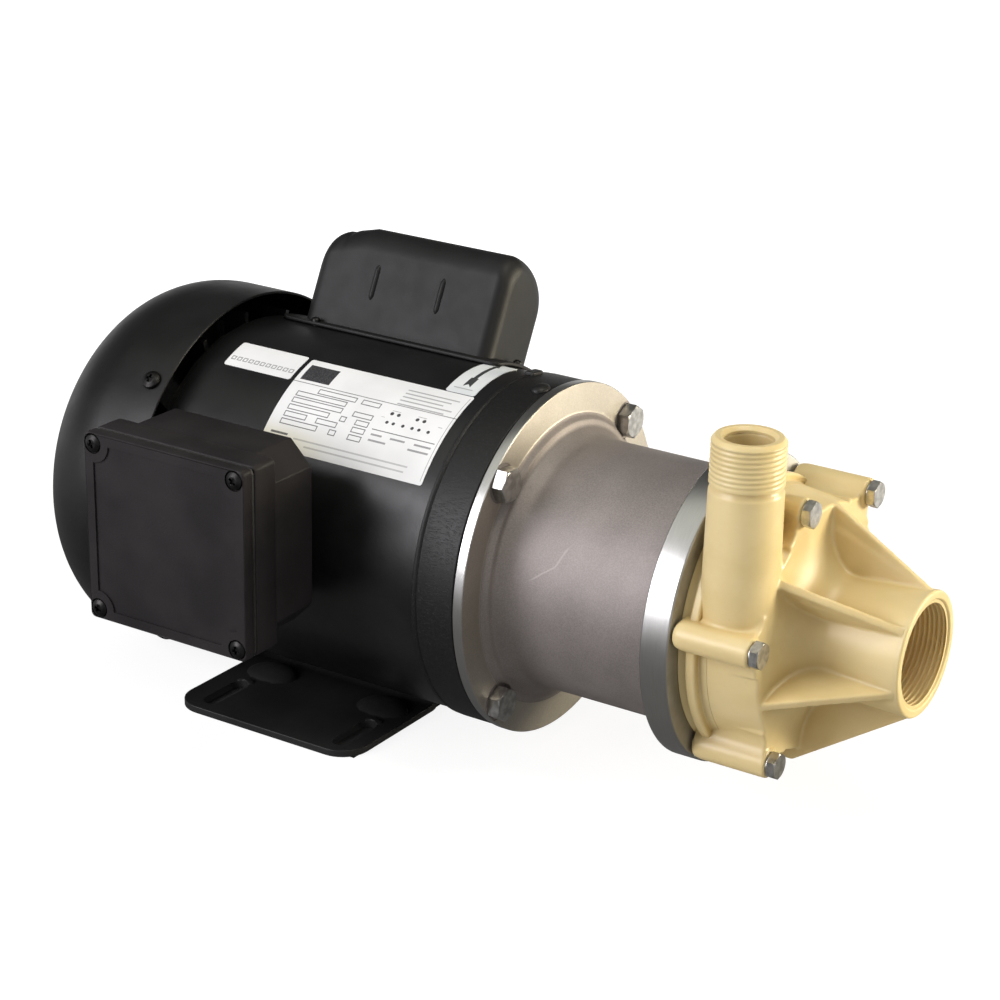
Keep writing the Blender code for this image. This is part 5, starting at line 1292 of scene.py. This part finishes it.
def nameplateFinish():
    # a rating table: head box, small ruled boxes in rows, a terminal diagram and grey rules
    rows = {17.3: ((16.2, 37.7), (40.7, 51.0)), 20.9: ((6.0, 34.2),), 24.7: ((6.0, 34.2), (40.2, 51.0)),
            28.7: ((6.0, 29.0), (35.2, 38.5), (43.7, 51.0)), 32.6: ((6.0, 18.5), (23.9, 35.5), (43.7, 51.0)),
            36.6: ((6.0, 26.5), (33.0, 36.9), (43.7, 51.0))}
    marks = [(0.0, 15.6, 90.4, 16.05, 0.75), (53.7, 31.2, 87.7, 31.7, 0.8), (2.4, 3.8, 18.7, 14.1, 0.98),
             (3.7, 43.5, 13.2, 44.6, 0.85)]
    for top, spans in rows.items():
        marks += [(left, top, right, top + 3.0, 0.8, 0.5) for left, right in spans]
    marks += [(57.7, 4.9 + 2.4 * k, 85.7 - 3.0 * (k % 3), 5.7 + 2.4 * k, 0.5) for k in range(5)]
    marks += [(17.0, 44.8, 80.0, 45.6, 0.38), (24.0, 47.5, 79.0, 48.3, 0.38), (88.8, 1.5, 89.2, 50.0, 0.5)]
    marks += [(left, top, right, top + 1.0, 0.62) for left, top, right in (
        (54.5, 33.6, 60.5), (65.0, 33.6, 73.0), (78.0, 33.6, 87.0), (54.5, 36.6, 64.0), (76.0, 36.6, 87.0))]
    marks += [(58.2, 19.4, 62.8, 19.7, 0.6), (72.2, 19.4, 76.8, 19.7, 0.6), (54.6, 23.9, 56.4, 24.2, 0.5),
              (84.6, 22.4, 86.8, 22.8, 0.5)]
    dots = [(u, 21.3, 0.95) for u in (58.9, 62.5, 72.7, 76.4)] + [(u, 26.4, 0.85) for u in (59.0, 62.5, 67.7,
                                                                                            72.7, 76.4, 81.4)]
    return printedLabel("nameplateFoil", labelTop(nameplate), marks, dots,
                        {"from": 36.0, "to": 50.0, "left": 8.0, "right": 46.0})


def sideLabelFinish():
    marks = [(1.4 + 3.35 * k, 10.4, 3.9 + 3.35 * k, 13.0, 0.62, 0.55) for k in range(11)]
    return printedLabel("sideLabelFoil", labelTop(sideLabel), marks)


def arrowLabelFinish():
    # a plain turning arrow: slim head, shaft and a notched tail
    look = Finish("arrowFoil", Specular_IOR_Level=0.4)
    down = (math.radians(18.0) - look.maths("ARCTAN2", look.y, look.z)) * motor["radius"]
    across = look.maths("ABSOLUTE", look.x + 40.9 - (down - 14.3) * 0.105)
    shaft = (across < 1.05) * (down > 12.0) * (down < 36.0)
    head = (across < (down - 7.4) * 0.3) * (down < 14.4)
    tail = (across < 1.95) * (down > 33.6) * (down < 40.2 + across * 1.25)
    rule = (look.maths("ABSOLUTE", look.x + 38.2) < 5.0) * (look.maths("ABSOLUTE", down - 44.6) < 0.35) * 0.5
    ink = look.maths("MAXIMUM", look.clamp(shaft + head + tail), rule)
    mottle = look.noise(0.6, 2.0)
    paper = look.between(look.smooth(look.noise(12.0, 2.0), 0.3, 0.7), tone(0.62, 0.655, 0.68),
                         tone(0.70, 0.73, 0.755))
    colour = look.between(ink * 0.95, paper, tone(0.015, 0.015, 0.017))
    return look.close(colour, 0.38 + mottle * 0.1, None, look.bump(mottle, 0.01, 0.4))


motorShell()
driveEndshield()
fanCover()
fanCoverScrews()
flangeBolts()
housingBolts()
pumpAdapter()
capacitorCover()
capacitorScrews()
conduitBox()
conduitLid()
conduitScrews()
motorFoot()
frontHousing()
label("nameplate", nameplate, nameplateFinish())
label("sideLabel", sideLabel, sideLabelFinish())
label("arrowLabel", arrowLabel, arrowLabelFinish())
print("pieces ready")


view = {"azimuth": 30.34, "elevation": 22.5, "roll": 2.26, "distance": 1168.48,
        "target": (29.4, -3.23, 89.06),
        "focal": 2570.29, "centre": (603.58, 572.01), "photo": 1000.0, "sensor": 36.0}


def setCamera():
    a = math.radians(view["azimuth"])
    e = math.radians(view["elevation"])
    r = math.radians(view["roll"])
    back = Vector((math.sin(a) * math.cos(e), -math.cos(a) * math.cos(e), math.sin(e)))
    right = Vector((math.cos(a), math.sin(a), 0.0))
    up = back.cross(right)
    across = math.cos(r) * right + math.sin(r) * up
    rise = -math.sin(r) * right + math.cos(r) * up
    place = (toFrame @ Vector(view["target"])) + back * view["distance"] * millimetre
    data = bpy.data.cameras.new("photoCamera")
    data.sensor_width = view["sensor"]
    data.lens = view["focal"] * view["sensor"] / view["photo"]
    data.shift_x = 0.5 - view["centre"][0] / view["photo"]
    data.shift_y = view["centre"][1] / view["photo"] - 0.5
    data.clip_start = 0.05
    camera = linked("photoCamera", data)
    camera.matrix_world = Matrix((
        (across.x, rise.x, back.x, place.x), (across.y, rise.y, back.y, place.y),
        (across.z, rise.z, back.z, place.z), (0.0, 0.0, 0.0, 1.0)))
    bpy.context.scene.camera = camera


lighting = {"world": 0.24, "floor": 0.55, "white": 1.46, "floorShare": 0.6, "mirrorShare": 0.85,
            "mirrorDark": 0.1,
            "mirrorFar": 0.6, "mirrorReach": (0.25, 1.1), "mirrorBehind": 0.85, "behind": (0.05, 0.5),
            "ceiling": 0.09, "wall": (0.05, 0.3), "shadowReach": (0.3, 0.9), "paintedShadowTone": 0.05,
            "under": (-0.0785, 0.0257, 0.049, 0.077), "floorHalf": 9.0, "floorDrop": 0.0002}


def seenBy(board, camera, mirror):
    # the white background's share in camera rays and in mirror and glass rays
    path = board.node("ShaderNodeLightPath")
    shiny = board.maths("MAXIMUM", board.also(path, "Is Glossy Ray"), board.also(path, "Is Transmission Ray"))
    return board.maths("MAXIMUM", path * camera, shiny * mirror)


def setStage():
    material = bpy.data.materials.new("studioFloor")
    material.use_nodes = True
    board = Board(material.node_tree)
    board.tree.nodes.clear()
    # plain white farther out; near the object the floor keeps its shadow
    away = board.vector("LENGTH", board.node("ShaderNodeTexCoord", out=3), out=1)
    far = board.smooth(away, *lighting["shadowReach"])
    across = board.node("ShaderNodeSeparateXYZ", {}, {0: board.node("ShaderNodeTexCoord", out=3)})
    # mirrored in the metal it is dark in front and bright behind
    behind = board.smooth(board.also(across, "Y"), *lighting["behind"])
    faraway = board.smooth(away, *lighting["mirrorReach"]) * lighting["mirrorFar"]
    mirror = board.maths("MAXIMUM", behind * lighting["mirrorBehind"], faraway) + lighting["mirrorDark"]
    glow = board.node("ShaderNodeEmission", {}, {"Strength": seenBy(board, lighting["white"], mirror)})
    # under the foot the floor is painted dark and gets no white glow: a painted shadow, seen through the slots
    midX, midY, halfX, halfY = lighting["under"]
    inX = board.maths("ABSOLUTE", across - midX) < halfX
    under = inX * (board.maths("ABSOLUTE", board.also(across, "Y") - midY) < halfY)
    level = lighting["floor"]
    dark = lighting["paintedShadowTone"]
    shade = board.between(under, tone(level, level, level), tone(dark, dark, dark))
    sheet = board.node("ShaderNodeBsdfDiffuse", {}, {"Color": shade})
    share = (lighting["floorShare"] + far * (1.0 - lighting["floorShare"])) * (1.0 - under)
    share = seenBy(board, share, lighting["mirrorShare"])
    mixed = board.node("ShaderNodeMixShader", {}, {0: share, 1: sheet, 2: glow})
    board.end("ShaderNodeOutputMaterial", Surface=mixed)
    h = lighting["floorHalf"]
    mesh = meshOf("studioFloor", [(-h, -h, 0), (h, -h, 0), (h, h, 0), (-h, h, 0)], [(0, 1, 2, 3)])
    mesh.materials.append(material)
    floor = linked("studioFloor", mesh)
    floor.location.z = -lighting["floorDrop"]
    world = bpy.data.worlds.new("studio")
    bpy.context.scene.world = world
    world.use_nodes = True
    board = Board(world.node_tree)
    board.tree.nodes.clear()
    # the backdrop is white near the horizon and gives way to a dim ceiling
    way = board.node("ShaderNodeTexCoord", out=0)
    height = board.also(board.node("ShaderNodeSeparateXYZ", {}, {0: way}), "Z")
    wall = 1.0 - board.smooth(height, *lighting["wall"]) * (1.0 - lighting["ceiling"])
    lit = board.node("ShaderNodeBackground", {}, {"Strength": lighting["world"]})
    plain = board.node("ShaderNodeBackground", {}, {"Strength": wall})
    mixed = board.node("ShaderNodeMixShader", {}, {0: seenBy(board, 1.0, 1.0), 1: lit, 2: plain})
    board.end("ShaderNodeOutputWorld", Surface=mixed)


lamps = {
    "keyPanel": {"from": (-0.75, -1.27, 0.72), "size": (0.9, 0.9), "power": 22.5,
                 "colour": (0.985, 0.965, 1.0)},
    "topPanel": {"from": (-0.5, -0.42, 1.45), "size": (1.0, 1.0), "power": 3.0, "colour": (1.0, 1.0, 0.9)},
    "warmPanel": {"from": (1.25, 0.74, 0.26), "size": (0.5, 0.4), "power": 24.0, "colour": (1.0, 0.9, 0.68)},
    "abovePanel": {"from": (0.5, -0.05, 1.5), "size": (0.6, 0.6), "power": 10.0, "colour": (1.0, 0.95, 0.82)},
    "frontPanel": {"from": (1.3, -1.0, 1.1), "size": (0.9, 0.9), "power": 3.0, "colour": (1.0, 0.97, 0.9)},
}


def setLamps():
    for name, s in lamps.items():
        data = bpy.data.lights.new(name, "AREA")
        data.shape = "RECTANGLE"
        data.size, data.size_y = s["size"]
        data.energy = s["power"]
        data.color = s["colour"]
        lamp = linked(name, data)
        place = Vector(s["from"])
        # aimed at the pump's middle
        aim = (place - Vector((0.0, 0.0, 0.1))).to_track_quat("Z", "Y")
        lamp.matrix_world = Matrix.Translation(place) @ aim.to_matrix().to_4x4()


setCamera()
setStage()
setLamps()
bpy.context.scene.view_settings.view_transform = "Standard"
# the geometry trees have done their work
for group in list(bpy.data.node_groups):
    if group.bl_idname == "GeometryNodeTree" and group.users == 0:
        bpy.data.node_groups.remove(group)

print("scene ready")
